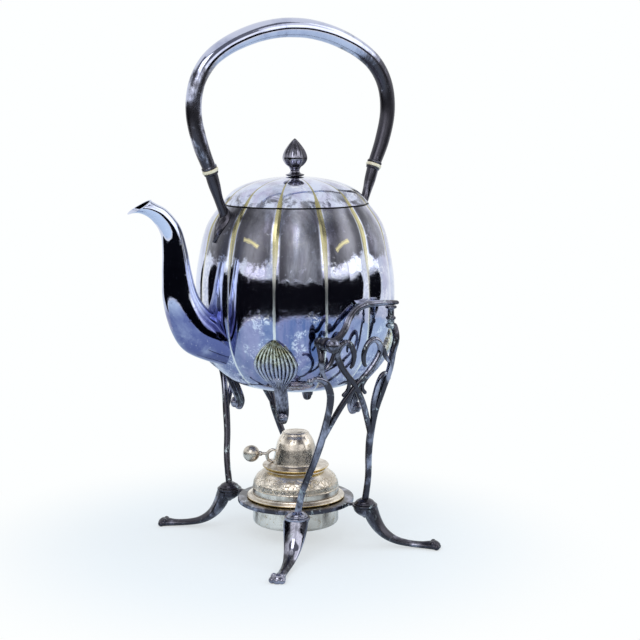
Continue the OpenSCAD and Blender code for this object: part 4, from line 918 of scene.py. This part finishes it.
class KETTLE_OT_handle(Maker, bpy.types.Operator):
    """Makes the arched grip, its insulating rings and the two sockets with their leaves"""
    bl_idname = "kettle.handle"
    bl_label = "Handle"

    def make(self, m):
        seat = m.arch(2)
        way = m.arch(3) - m.arch(1)
        way = way / np.linalg.norm(way)
        gap = m.ring_gap / 2
        start, stub = seat + way * (gap + 0.02), seat - way * (gap + 0.02)
        radius = np.interp(np.arange(3, 11), [2, 3, 5, 8, 10], [4.9, 5.6, 5.9, 6.9, m.grip_radius])
        half = np.vstack([[*start, 4.9], np.column_stack([m.arch(slice(3, None)), radius])])
        whole = np.vstack([half, half[-2::-1] * (-1, 1, 1)])
        path = np.column_stack([AXIS - whole[:, 0], 0 * whole[:, 0], whole[:, 1], whole[:, 2],
                                whole[:, 2]])
        parts = [tube(path, (0, 1, 0), 40, 10)]
        collar = soften([[3, -0.2], [5.3, -0.2], [5.75, 0.5], [5.75, 1.3], [5.2, 2.2], [3, 2.2]],
                        0.7)
        rings, sockets = [], []
        for s in (1, -1):
            out = np.array([-s * way[0], 0, way[1]])
            at = place(s * start[0], 0, start[1])
            parts.append(move(turned(collar, 48), at + out * 0.25, out))
            loop = soften([[0, -gap], [5.9, -gap], [6.1, 0], [5.9, gap], [0, gap]], 0.6)
            rings.append(move(turned(loop, 48), place(s * seat[0], 0, seat[1]), out))
            sockets.append(self.socket(m, s, stub, way))
        piece("grip_arch", parts, ["handle_plate"], "kettle", ["handle_grip"])
        piece("ivory_rings", rings, ["ivory"], "kettle", ["insulator_rings"])
        for name, socket in zip(("front", "rear"), sockets):
            piece(name + "_leaf", socket, ["leaf_plate"], "kettle", [name + "_handle_socket"],
                  sharp=40)

    def socket(self, m, s, stub, way):
        """The stub from the ring down to the shoulder, its heel, and the heart-shaped leaf: across
        the leaf the surface stands 0.4 + up(t) (1 - w^2) off the body, less its veins."""
        foot = np.array([m.surface_r(0.0, m.top - 4.6) + 2.9, m.top - 4.6])
        mid, low = stub + (foot - stub) * 0.3, stub + (foot - stub) * 0.66
        run = np.array([[*stub, 4.6, 4.6], [mid[0] + 0.4, mid[1], 4.3, 4.4],
                        [low[0] + 0.6, low[1], 3.5, 3.3], [foot[0] + 0.2, foot[1] + 1, 3.9, 3.6],
                        [foot[0] - 1.2, foot[1] - 4, 3.6, 4.4]])
        path = np.column_stack([AXIS - s * run[:, 0], 0 * run[:, 0], run[:, 1], run[:, 2],
                                run[:, 3]])
        parts = [tube(path, (0, 1, 0), 32, 8, ends=(0, 0.6))]
        out = np.array([s * way[0], 0, -way[1]])
        collar = soften([[3, -0.2], [5.1, -0.2], [5.45, 0.4], [5.3, 1.2], [4.6, 1.9], [3, 1.9]],
                        0.5)
        parts.append(move(turned(collar, 48), place(s * stub[0], 0, stub[1]) + out * 0.22, out))
        t, w = np.linspace(0, 1, 56)[:, None], np.linspace(-1, 1, 41)
        half = 7.6 * curve([[0, 0.45], [0.12, 0.84], [0.3, 1], [0.5, 0.84], [0.75, 0.46],
                            [0.93, 0.16], [1, 0.02]], t)
        z = m.top - 2.5 - m.leaf_length * 0.86 * t - 1.6 * (1 - t) * np.abs(w) ** 3
        rise = curve([[0, 2.3], [0.3, 2.6], [0.7, 1.5], [0.9, 1.3], [1, 1.8]], t)
        spine = -0.5 * np.exp(-(w / 0.1) ** 2) * np.clip(1 - t, 0, 1)
        veins = 0.16 * np.cos(34 * (t * 0.8 + 0.35 * np.abs(w)))
        veins = veins * np.clip(np.abs(w) * 3, 0, 1) * (1 - w * w)
        up = 0.45 + rise * (1 - np.abs(w) ** 2.5) + spine + veins
        th = w * half / m.body_radius(z) * DEGREES + (0 if s > 0 else 180)
        parts.append(grid(plate(m.on_body(th, z, -0.1), m.on_body(th, z, up))))
        return parts


class KETTLE_OT_shells(Maker, bpy.types.Operator):
    """Makes the four fluted shell feet, with their stems and toes"""
    bl_idname = "kettle.shells"
    bl_label = "Shell feet"

    def make(self, m):
        parts = []
        for k in range(4):
            parts += self.shell(m, 30 + 90 * k + m.step / 2)
        piece("fluted_shells", parts, ["shell_plate", "leg_plate"], "kettle", ["shell_feet"],
              sharp=50)

    def shell(self, m, turn):
        """A fan on the body: w goes across it and t up it, and the surface stands
        0.7 + crown(t) (1 - w^2 / 2) + flute(t) |cos(n pi w / 2)| off the body. Its upper edge is
        scalloped by the same flutes, which run on down the stem."""
        low = m.base + 0.07 * m.height
        t, w = np.linspace(0, 1, 64)[:, None], np.linspace(-1, 1, m.shell_flutes * 10 + 1)
        half = m.shell_width / 2 * curve([[0, 0.24], [0.12, 0.36], [0.3, 0.8], [0.46, 1],
                                          [0.6, 0.98], [0.78, 0.76], [0.92, 0.42], [1, 0.12]], t)
        flute = np.abs(np.cos(m.shell_flutes * math.pi * w / 2)) ** 0.7
        z = low + m.shell_height * t * (1 - 0.07 * (1 - flute) * t ** 3)
        crown = curve([[0, 4.0], [0.3, 3.0], [0.8, 2.1], [1, 1.0]], t)
        depth = curve([[0, 0.35], [0.3, 1.1], [0.7, 1.9], [1, 1.2]], t)
        curls = 0.35 * np.sin(46 * t + 5 * w) * np.clip((t - 0.5) * 2, 0, 1) * (np.abs(w) < 0.98)
        up = 0.5 + crown * (1 - 0.5 * w ** 2) + depth * (flute - 0.6) + curls
        th = turn + w * half / m.body_radius(z) * DEGREES
        parts = [grid(plate(m.on_body(th, z, -0.2), m.on_body(th, z, np.maximum(up, 0.3))))]
        r0 = float(m.surface_r(turn, low))
        toe = m.base - m.shell_drop + 4.6

        def out(r, z, a, b):
            """A station of the stem, r out from the kettle's axis."""
            return [*round_at(turn, r, z), a, b]

        side = (math.sin(math.radians(turn)), -math.cos(math.radians(turn)), 0)
        stem = [out(float(m.surface_r(turn, low + 9)) + 2.6, low + 9, 5.2, 2.4),
                out(r0 + 2.4, low - 1, 4.7, 3.2), out(r0 - 3, (low + toe) / 2, 4.5, 3.5),
                out(r0 - 6.4, toe + 2, 4, 3.4), out(r0 - 5.4, toe - 3.4, 3, 3)]
        parts.append(grid(tube(stem, side, 56, 8, 14, 0.07, (0.3, 0.7)), inner=0))
        ahead = round_at(turn, 1, 0) - np.array([AXIS, 0, 0])
        eye = soften([[0, -4.4], [2.6, -3.6], [4.1, -1], [4.1, 1.2], [3.2, 2.6], [2.7, 2.2],
                      [2.2, 2.4], [1.6, 3.3], [0, 3.6]], 0.6)
        parts.append(grid(move(turned(eye, 48, 9, 0.05), round_at(turn, r0 - 2.6, toe), ahead,
                               (0, 0, 1)), inner=0))
        return parts


class KETTLE_OT_mount(Maker, bpy.types.Operator):
    """Makes the side arms, the pivot screws and their blocks, and the posts the arms rest on"""
    bl_idname = "kettle.mount"
    bl_label = "Tilting mount"

    def make(self, m):
        for side, name in SIDES:
            flip = np.array([1, side, 1])
            arm = [grid(g * flip, ring=k == 1) for k, g in enumerate(self.arm(m))]
            piece("arm_" + name, arm, ["rod_plate"], "kettle", ["side_arm_" + name])
            piece("screw_" + name, [grid(g * flip) for g in self.screw(m)], ["handle_plate"],
                  "stand", ["pivot_screw_" + name])
        bore = m.pivot_radius + BLOCK_GAP
        block = soften([[bore, 0], [4.2, 0], [4.2, 4.6], [bore, 4.6]], 0.7, 3, True)
        post = soften([[0, 0], [2.6, 0], [2.6, 2.2], [3.6, 3], [3.6, 4.2], [2.4, 5],
                       [2.4, m.post - 2.4], [4.2, m.post - 1.6], [4.2, m.post - 0.4], [3.6, m.post],
                       [0, m.post]], 0.5)
        blocks, posts = [], []
        for s in (1, -1):
            blocks.append(grid(move(turned(block, 64),
                                    place(m.pivot_forward, s * m.block_side, m.pivot_z),
                                    (0, -s, 0)), ring=True))
            posts.append(move(turned(post, 64), place(-31, s * m.post_side, m.post_z)))
        piece("pivot_sleeves", blocks, ["rod_plate"], "stand", ["pivot_blocks"])
        piece("rear_posts", posts, ["rod_plate"], "stand", ["rest_posts"])

    def arm(self, m):
        """The arm's bowed rod, its eye round the screw, and the lug that holds it to the body."""
        f, e, s, z = m.pivot_forward, m.eye_side, m.arm_side, m.pivot_z
        rows = np.array([[f - 3, e + 2.2, z + 0.8, 2.1, 2.1], [f - 9.5, e + 2, z + 3, 2.4, 2.4],
                         [f - 16, e + 1.4, z + 8.8, 2.5, 2.5],
                         [f - 22.5, e + (s - e) * 0.55, z + 15.5, 2.5, 2.5],
                         [f - 30, e + (s - e) * 0.9, m.arm_z - 2.6, 2.5, 2.4],
                         [f - 39, s, m.arm_z, 2.4, 2.4], [f - 50, s, m.arm_z + 0.4, 2.2, 2.4],
                         [-31, m.post_side, m.arm_z, 1.9, 3.2],
                         [-36.2, m.post_side, m.arm_z - 0.2, 1.5, 2.6]])
        rod = tube(np.column_stack([place(*rows[:, :3].T), rows[:, 3:]]), (0, 0, 1), 24, 8,
                   ends=(0, 0.4))
        bore = m.pivot_radius + EYE_GAP
        ring = soften([[bore, 0], [4.5, 0], [4.9, 1.4], [4.9, 3], [4.5, 4.4], [bore, 4.4]], 0.6, 3,
                      True)
        eye = move(turned(ring, 64), place(f, e, z), (0, -1, 0))
        th, rise = np.linspace(91, 103, 13), np.linspace(0, 1, 7)[:, None]
        inner = m.on_body(th, m.arm_z - 3.4 + 6.8 * rise, -0.1)
        outer = place(-np.linspace(1, 17, 13), s, m.arm_z - 1.6 + 3.2 * rise)
        return [rod, eye, plate(inner, outer)]

    def screw(self, m):
        """The pivot screw, with a collar, a turned neck and a ball head."""
        b = m.ball_side - m.block_side
        line = soften([[0, 0], [2, 0], [2, 4.6], [3.5, 4.6], [3.5, 5.7], [2.7, 6], [2.7, 6.5],
                       [3.3, 6.8], [3.3, 7.6], [2, 7.6], [2, b - 6.4], [3, b - 5.6], [3, b - 4.9],
                       [2, b - 4.4], [2, b], [0, b]], 0.25, 2)
        origin = place(m.pivot_forward, m.block_side + 0.1, m.pivot_z)
        head = ball(place(m.pivot_forward, m.ball_side, m.pivot_z), m.ball_radius, 48, 33)
        return [move(turned(line, 64), origin, (0, -1, 0)), head]


class KETTLE_OT_frames(Maker, bpy.types.Operator):
    """Makes the two side frames of crossed and scrolled rods"""
    bl_idname = "kettle.frames"
    bl_label = "Side frames"

    def make(self, m):
        for side, name in SIDES:
            flip = np.array([1, side, 1])
            parts = [grid(g * flip) for g in self.frame(m)]
            piece("scroll_frame_" + name, parts, ["rod_plate"], "stand", ["side_frame_" + name],
                  sharp=50)

    def frame(self, m):
        """The right frame. The scrolled rods between its limbs are the same front and rear. The
        rear limb rises in one sweep, with a scroll beside it, and a crook leads from its top to
        the post. The front limb curls forward to a ball, and a strap leads from it to the pivot."""
        r, a = m.rod, m.node_a
        k = a * 0.72

        def rod(rows, around, steps, ends=(0, 0)):
            """A round rod through stations."""
            return tube(rows, (1, 0, 0), around, steps, ends=ends)

        def run(rows, past=0, thick=1):
            """Stations from rows of forward past a place, share of the height, and radius."""
            return [m.panel(past + d, t, thick * h) for d, t, h in rows]

        def bead(a, t, radius):
            """A ball in the frame's sheet."""
            return ball(m.panel(a, t, 1)[:3], radius, 24, 13)

        low = [m.panel(a, -0.02, r), m.panel(a * 0.95, 0.14, r * 0.94), m.panel(k + 2.6, 0.29, r),
               m.panel(k, 0.42, r * 1.06, r * 1.1)]
        main = low + run([(0.4, 0.56, 0.92), (3.4, 0.69, 0.9), (6.6, 0.81, 0.94),
                          (8.2, 0.91, 0.96)], k, r)
        crooked = low + run([(-1.6, 0.54, 0.96), (-2.2, 0.63, 1), (-0.8, 0.705, 1.04),
                             (3.6, 0.768, 1), (9.4, 0.8, 0.88), (14.6, 0.808, 0.72),
                             (17.6, 0.8, 0.6)], k, r)
        inner = run([(k, 0.42, 0.8), (10.5, 0.61, 0.88), (0, 0.735, 0.85), (-8, 0.8, 0.85),
                     (-14.5, 0.86, 0.88), (-18.6, 0.92, 0.9), (-18, 0.965, 0.9),
                     (-13.4, 0.995, 0.88), (-8, 0.98, 0.8), (-4.4, 0.925, 0.75), (-4.8, 0.87, 0.6),
                     (-6.4, 0.85, 0.45)], 0, r)
        scroll = run([(-0.4, 0.5, 1.4), (-2.6, 0.6, 2.1), (-2.2, 0.7, 2.2), (0.2, 0.775, 2.0),
                      (4.6, 0.79, 1.7), (6, 0.765, 1.5)], k)
        bow = run([(17.6, 0.965, 1.9), (21.2, 0.94, 1.8), (23.6, 0.895, 1.8), (27.4, 0.86, 1.6)])
        curl = run([(11.4, 0.84, 1.5), (8.2, 0.8, 1.5), (6, 0.755, 1.45), (6.6, 0.715, 1.4),
                    (9.4, 0.69, 1.5)])
        half = [rod(inner, 20, 8, (0, 0.8)), rod(bow, 16, 6), rod(curl, 16, 6, (0.5, 0.9))]
        rear = [rod(main, 24, 8), rod(scroll, 18, 8, (0.2, 0.9)), bead(k + 6.2, 0.762, 2.2)]
        front = [rod(crooked, 24, 8, (0, 0.5)), bead(k + 18.6, 0.797, 2.5)]
        mirrored = [np.array([2 * AXIS, 0, 0]) + g * (-1, 1, 1) for g in half + rear]
        f, b, z, top, post = m.pivot_forward, m.block_side, m.pivot_z, m.panel_top, m.post_side
        strap = run([(3.4, 0.77, 1.7), (8.4, 0.835, 1.8), (10, 0.895, 2.1)], k) + [
            [*place(f + 1.6, b + 6, z - 8), 2.5, 2.4], [*place(f + 0.4, b + 3.2, z - 5), 2.8, 2.2],
            [*place(f, b + 2, z - 3.2), 2.8, 1.8]]
        crook = [m.panel(-k - 8.2, 0.91, r * 0.96), [*place(-32.6, top - 0.6, z - 2), 2.5, 2.5],
                 [*place(-32.4, top - 2.4, z + (m.post_z - z) * 0.6), 2.6, 2.6],
                 [*place(-31.4, post + 1.6, m.post_z - 1.9), 2.9, 2.3],
                 [*place(-31, post - 2.4, m.post_z - 2.2), 2.9, 2]]
        return half + front + mirrored + [rod(strap, 20, 8, (0, 0.3)), rod(crook, 20, 8, (0, 0.6))]


class KETTLE_OT_base(Maker, bpy.types.Operator):
    """Makes the ring that carries the burner, its caps and knobs, and the four legs"""
    bl_idname = "kettle.base"
    bl_label = "Ring and legs"

    def make(self, m):
        out, z = m.ring_in + m.ring_width, m.ring_height
        flat = soften([[m.ring_in, z - m.ring_thick], [out, z - m.ring_thick], [out, z],
                       [m.ring_in, z]], 0.8, 4, True)
        parts = [upright(flat, 160, True)]
        cap = soften([[0, 0], [8.2, 0], [8.2, 0.8], [7.2, 1.6], [6.6, 2.6], [4.6, 3.7], [3.8, 4.2],
                      [0, 4.2]], 0.5) + (0, z)
        flange = soften([[0, -2], [m.flange, -2], [m.flange, 0], [0, 0]], 0.6) + (0, z)
        knob = soften([[0, 0], [8.4, 0], [8.6, -1.6], [7.6, -4], [5, -6], [2.6, -7.2], [1, -8.6],
                       [0, -9]], 0.8) + (0, z - 2)
        caps, knobs, legs = [], [], []
        for a, b in m.nodes():
            at = place(a, b, 0)
            way = np.array([a, b]) / m.node_radius
            neck = [[*place(*(way * d), z - drop), wide, high] for d, drop, wide, high in (
                (out - 2.4, 1.5, 4.2, 1.3), (out + 2, 1.4, 2.9, 1.25),
                (m.node_radius - m.flange - 1, 1.1, 2.6, 1.15), (m.node_radius - 6, 1.1, 3.8, 1))]
            parts += [tube(neck, (way[1], -way[0], 0), 24, 8), move(turned(flange, 64), at)]
            caps.append(move(turned(cap, 64), at))
            knobs.append(move(turned(knob, 64, 10, 0.05), at))
            legs += self.leg(m, math.copysign(1, a), math.copysign(1, b))
        piece("burner_ring", parts, ["rod_plate"], "stand", ["stand_ring"])
        piece("rod_caps", caps, ["rod_plate"], "stand", ["node_caps"])
        piece("gadrooned_knobs", knobs, ["leg_plate"], "stand", ["pendant_knobs"])
        piece("clawed_legs", legs, ["leg_plate"], "stand", ["cabriole_legs"], sharp=50)

    def leg(self, m, sa, sb):
        """A leg: a bell under the node that sweeps down and out, runs low over the table and ends
        in three claws. Its section has a raised spine, and 1 + 0.05 cos(4 q) gives it facets."""
        toe_a, toe_b = m.toe_reach * math.cos(m.toe_angle), m.toe_reach * math.sin(m.toe_angle)
        run = math.hypot(toe_a - m.node_a, toe_b - m.node_b)
        way = np.array([sa * (toe_a - m.node_a), sb * (toe_b - m.node_b)]) / run
        z = m.ring_height - 2
        rows = np.array([[0.07, z - 0.3, 8.8, 5.2], [0.09, z - 4.6, 8.7, 5.4],
                         [0.135, z - 10.6, 7.9, 5], [0.21, z - 17, 6.6, 4.2],
                         [0.31, z - 22, 5.3, 3.4], [0.44, z - 25.6, 4.1, 2.7], [0.6, 3.6, 3.4, 2.4],
                         [0.76, 2.9, 3.4, 2.5], [0.87, 3, 4.6, 3], [0.94, 3, 5.6, 3.4],
                         [0.985, 2.3, 4.4, 2.6]])

        def at(t, side, up):
            """The point t of the way along the leg, side across it and up over the table."""
            return place(sa * m.node_a + way[0] * t * run - way[1] * side,
                         sb * m.node_b + way[1] * t * run + way[0] * side, up)

        path = np.column_stack([at(rows[:, 0], 0, rows[:, 1]), rows[:, 2:]])
        leg = tube(path, (way[1], -way[0], 0), 40, 10, 4, 0.05, (0.02, 0.4), flat=0.02)
        claws = [ball(at(0.965 + 0.012 * (s == 0), s * 3.6, 2.3), (2.5, 2.5, 2.28), 20,
                      13) for s in (-1, 0, 1)]
        knuckles = [ball(at(0.915, s * 3.1, 4.4), 2.3, 20, 13) for s in (-1, 0, 1)]
        return [leg] + claws + knuckles


class KETTLE_OT_burner(Maker, bpy.types.Operator):
    """Makes the spirit burner, its wick, and the snuffer with its scroll and ball knob"""
    bl_idname = "kettle.burner"
    bl_label = "Burner and snuffer"

    def make(self, m):
        w, pan, deep = m.burner_wall, m.pan_radius, m.rim_z - m.pan_height
        cup = soften([[0, 0], [pan - 2.4, 0], [pan - 0.8, 0.7], [pan, 2.2], [pan, deep],
                      [pan - w, deep], [pan - w, 2.6], [pan - 2.8, w], [0, w]], 0.9)
        piece("burner_cup", [upright(cup + (0, m.pan_height), 128)], ["warm_plate"], "burner",
              ["burner_pan"])
        rim = pan + 4.2
        brim = soften([[pan - 2.4, 0], [rim, 0], [rim + 0.6, 0.9], [rim, 1.8], [pan + 1.4, 2.4],
                       [pan + 1, 3.4], [pan - 2.4, 3.4]], 0.4, 3, True) + (0, m.rim_z)
        piece("burner_brim", [upright(brim, 128, True)], ["warm_plate"], "burner", ["burner_rim"])
        n = m.neck_r
        dome = soften([[pan + 0.4, 0], [pan + 0.2, 4.2], [pan + 0.5, 4.5], [pan + 0.1, 5],
                       [pan - 0.4, 9], [pan - 2.6, 13], [pan - 6.8, 16.4], [n + 0.6, 18.2],
                       [n + 0.9, 18.8], [n, 19.2], [n - 0.8, 20], [m.wick_radius + 1.4, 20],
                       [m.wick_radius + 1.4, 20 - w], [n - 1.6, 20 - w], [pan - 7.4, 16.4 - w],
                       [pan - 3.6, 13 - w * 0.6], [pan - 1.5, 8.7], [pan - 0.8 - w * 0.4, 4.6],
                       [pan - w, 0]], 1.2, 4, True) + (0, m.shoulder_z)
        piece("engraved_shoulder", [upright(dome, 144, True)], ["engraved_plate"], "burner",
              ["burner_shoulder"])
        r = m.wick_radius
        holder = soften([[r - 0.8, -8], [r, -8], [r, 0.1], [r + 3, 0.1], [r + 3, 1], [r, 1.2],
                         [r, 9], [r - 0.8, 9]], 0.25, 2, True)
        piece("wick_holder", [upright(holder + (0, m.neck_z), 64, True)], ["bare_brass"], "burner",
              ["wick_tube"])
        side = np.column_stack([np.full(50, r - 0.9), m.neck_z - 22 + 32.6 * np.linspace(0, 1, 50)])
        strand = np.vstack([[0, m.neck_z - 22], side, [r - 1.6, m.neck_z + 11.4],
                            [0, m.neck_z + 12]])
        piece("cotton_wick", [move(turned(strand, 90, 9, 0.12, 0.25), (AXIS, 0, 0))], ["cotton"],
              "burner", ["wick"])
        self.snuffer(m)

    def snuffer(self, m):
        """The snuffer's stepped dome, the scroll on its side, and the ball knob on a stalk."""
        h, r, n = m.snuffer_height, m.snuffer_radius, m.neck_r
        line = soften([[r - 1, 0], [n + 1.6, 0], [n + 3, 0.8], [n + 2.6, 1.6], [n - 1, 2],
                       [r + 2.4, 2.6], [r + 1.9, 5], [r + 1, h * 0.36], [r, h * 0.56],
                       [r - 1.2, h * 0.72], [r - 2.9, h * 0.85], [r - 4.6, h * 0.93],
                       [r - 4.9, h - 0.6], [r - 5.8, h], [r - 7, h - 0.3], [r - 8, h],
                       [r - 9.2, h - 0.3], [r - 10.4, h], [0, h], [0, h - 1], [r - 6, h - 1.2],
                       [r - 4, h * 0.85], [r - 1.9, h * 0.74], [r - 1, h * 0.6]], 0.7, 3,
                      True) + (0, m.brim_z)
        way = np.array([math.cos(m.knob_way), math.sin(m.knob_way), 0])
        piece("snuffer_dome", [upright(line, 128, True)], ["warm_plate"], "snuffer",
              ["snuffer_cap"])

        def at(d, z=9.6):
            """The point d from the axis on the knob's way, z over the brim."""
            return np.array([AXIS, 0, m.brim_z + z]) + way * d

        def stations(rows):
            """Stations from rows of distance, height and radius."""
            return [[*at(d, z), w, w] for d, z, w in rows]

        side = (-way[1], way[0], 0)
        scroll = stations([(r + 0.1, 12, 1), (r + 3, 12.4, 1.15), (r + 6.4, 9.6, 1.3),
                           (r + 6.2, 5.4, 1.25), (r + 3.4, 3.6, 1.1), (r + 0.6, 4.4, 0.9)])
        reach = m.knob_reach - m.knob_radius
        stalk = stations([(r + 6, 9.4, 1.1), (r + 9, 9.6, 1.05), (reach + 0.1, 9.6, 1.1)])
        bead = ball(at(reach - 0.6), 1.9, 24, 13)
        piece("snuffer_curl", [tube(scroll, side, 16, 8, ends=(0.2, 0.2)), tube(stalk, side, 16, 6),
                               bead], ["warm_plate"], "snuffer", ["snuffer_scroll"])
        knob = ball(at(m.knob_reach), m.knob_radius, 48, 33)
        piece("ball_knob", [knob], ["warm_plate"], "snuffer", ["snuffer_knob"])


class KETTLE_OT_stage(Maker, bpy.types.Operator):
    """Sets the camera, the pale floor, the lamps and the room that the polished plate mirrors"""
    bl_idname = "kettle.stage"
    bl_label = "Stage"

    def make(self, m):
        scene = bpy.context.scene
        scene.view_settings.view_transform = "Standard"
        az = m.camera_angle
        eye = Vector((AXIS + m.distance * math.sin(az), -m.distance * math.cos(az),
                      m.eye_height)) * 0.001
        lens = bpy.data.cameras.new("camera")
        lens.lens, lens.sensor_width, lens.clip_end = FOCAL, 36, 20
        camera = bpy.data.objects.new("camera", lens)
        scene.collection.objects.link(camera)
        camera.location = eye
        heading, pitch = az - math.radians(ASIDE), math.radians(PITCH)
        ahead = Vector((-math.sin(heading) * math.cos(pitch), math.cos(heading) * math.cos(pitch),
                        math.sin(pitch)))
        camera.rotation_euler = ahead.to_track_quat("-Z", "Y").to_euler()
        scene.camera = camera
        self.world(scene)
        self.lamp("key", (-0.9, -0.8, 1.3), 1.0, 9.0)
        self.lamp("fill", (1.1, -0.9, 0.9), 1.2, 4.0)
        self.floors(m)
        self.room(az)

    def world(self, scene):
        """White to the camera and to mirrored rays, and the plain light level to all else."""
        scene.world = bpy.data.worlds.new("studio")
        w = Nodes(scene.world, "OutputWorld")
        light = w.add("Background", {0: (0.93, 0.97, 1, 1), 1: 0.72})
        white = w.add("Background", {0: WHITE, 1: 1.0})
        seen = w.add("LightPath").outputs
        sharp = w.calc("MAXIMUM", seen["Is Camera Ray"], seen["Is Glossy Ray"])
        sharp = w.calc("MAXIMUM", sharp, seen["Is Transmission Ray"])
        w.end(w.add("MixShader", {0: sharp, 1: light.outputs[0], 2: white.outputs[0]}))

    def lamp(self, name, at, size, power):
        """A square lamp that faces the kettle."""
        data = bpy.data.lights.new(name, "AREA")
        data.size, data.energy = size, power
        lamp = bpy.data.objects.new(name, data)
        bpy.context.scene.collection.objects.link(lamp)
        lamp.location = at
        ahead = Vector((AXIS * 0.001, 0, 0.2)) - Vector(at)
        lamp.rotation_euler = ahead.to_track_quat("-Z", "Y").to_euler()

    def sheet(self, name, points, material, **seen):
        """An open surface of the stage: rows x columns of points, in metres."""
        m, n = points.shape[:2]
        faces = quads(m - 1, n - 1, m, n)[2]
        mesh = bpy.data.meshes.new(name)
        mesh.from_pydata(points.reshape(-1, 3).tolist(), [], faces.tolist())
        mesh.materials.append(material)
        obj = bpy.data.objects.new(name, mesh)
        bpy.context.scene.collection.objects.link(obj)
        for key, value in seen.items():
            setattr(obj, "visible_" + key, value)

    def floors(self, m):
        """A pale disc under the kettle, and a wide ring beyond it that fades into the white."""
        f = Nodes(bpy.data.materials.new("table_top"))
        paint = f.add("BsdfDiffuse", {0: (*bpy.context.scene.kettle_stage.floor, 1)})
        white = f.add("Emission", {0: WHITE})
        far = f.add("VectorMath", {0: f.add("TexCoord").outputs["Object"]}, operation="LENGTH")
        share = f.times(f.step(far.outputs["Value"], *FADE),
                        f.add("LightPath").outputs["Is Camera Ray"])
        material = f.end(f.add("MixShader", {0: share, 1: paint.outputs[0], 2: white.outputs[0]}))
        a = np.linspace(0, TURN, 97)

        def disc(radii):
            """Rings round the kettle's axis, their radii by the way round from the camera's."""
            r = np.stack(np.broadcast_arrays(*radii))
            q = m.camera_angle + a
            return np.stack([AXIS * 0.001 + r * np.sin(q), -r * np.cos(q), 0 * r], -1)

        edge = self.table_edge(a)
        self.sheet("floor", disc([0.0001 + 0 * a, edge * 0.4, edge]), material)
        self.sheet("floor_far", disc([edge, 2 + 0 * a, 9 + 0 * a]), material, glossy=False)

    def table_edge(self, a):
        """How far the mirrored table reaches, in metres, by the way round from the camera's: it
        ends sooner on the spout's side, r = 0.85 - 0.5 exp(-((a - 250 deg) / 42 deg)^2)."""
        away = (np.degrees(a) % 360 - 250) / 42
        return 0.85 - 0.5 * np.exp(-away ** 2)

    def room(self, az):
        """The room as the plate mirrors it, seen by mirrored rays alone: a dark band over the
        table's edge, a grey one higher up, and two bright windows between them. All are parts of
        spheres round the kettle: a point is R (cos(e) sin(a), -cos(e) cos(a), sin(e))."""
        def shade(name, value, strength=1.0):
            """A plain glow."""
            s = Nodes(bpy.data.materials.new(name))
            return s.end(s.add("Emission", {0: (*value, 1), 1: strength}))

        def part(name, a0, a1, e0, e1, radius, material):
            """Degrees round from the camera's way, and degrees up. With no lower limit the part
            starts at the table's edge, and its height tapers to nothing at both ends."""
            way = np.radians(np.linspace(a0, a1, 60))
            a = az + way
            low, high = e0 and math.radians(e0), math.radians(e1)
            if e0 is None:
                taper = np.sqrt(np.clip((1 - np.abs(np.linspace(-1, 1, 60))) * 5, 0, 1))
                low, high = -np.arctan2(EDGE_SEEN, self.table_edge(way)) * taper, high * taper
            e = low + (high - low) * np.linspace(0, 1, 12)[:, None]
            p = radius * np.stack([np.cos(e) * np.sin(a), -np.cos(e) * np.cos(a),
                                   np.sin(e) + 0 * a], -1)
            self.sheet(name, p + (AXIS * 0.001, 0, ROOM_MIDDLE), material, camera=False,
                       diffuse=False, transmission=False, volume_scatter=False, shadow=False)

        part("room_low", -120, 106, None, 8, 2.6, shade("dark_room", (0.004, 0.004, 0.006)))
        part("room_upper", -85, 85, 28, 62, 2.6, shade("grey_room", (0.2, 0.205, 0.23)))
        window = shade("window", (1, 1, 1), 1.5)
        part("window_left", -60, -12, 10, 25, 2.4, window)
        part("window_right", 12, 60, 10, 25, 2.4, window)


class KETTLE_PT_panel(bpy.types.Panel):
    """The kettle's pieces and sizes"""
    bl_label = "Spirit Kettle"
    bl_idname = "KETTLE_PT_panel"
    bl_space_type = "VIEW_3D"
    bl_region_type = "UI"
    bl_category = "Kettle"

    def draw(self, context):
        """A button for each operator, and the sizes by their groups."""
        for operator in MAKERS:
            self.layout.operator(operator.bl_idname)
        for key, group in GROUPS.items():
            box = self.layout.box()
            box.label(text=group.__doc__)
            for name in group.__annotations__:
                box.prop(getattr(context.scene, key), name)


MAKERS = (KETTLE_OT_stage, KETTLE_OT_body, KETTLE_OT_spout, KETTLE_OT_lid, KETTLE_OT_handle,
          KETTLE_OT_shells, KETTLE_OT_mount, KETTLE_OT_frames, KETTLE_OT_base, KETTLE_OT_burner)
CLASSES = (*GROUPS.values(), *MAKERS, KETTLE_PT_panel)


def register():
    """Registers the add-on's classes and its settings on the scene."""
    for c in CLASSES:
        bpy.utils.register_class(c)
    for key, group in GROUPS.items():
        setattr(bpy.types.Scene, key, PointerProperty(type=group))


def unregister():
    """Takes back what register did."""
    for key in GROUPS:
        delattr(bpy.types.Scene, key)
    for c in reversed(CLASSES):
        bpy.utils.unregister_class(c)


def main():
    """Runs every operator."""
    register()
    for operator in MAKERS:
        getattr(bpy.ops.kettle, operator.bl_idname.split(".")[1])()
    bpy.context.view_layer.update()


if __name__ == "__main__":
    main()
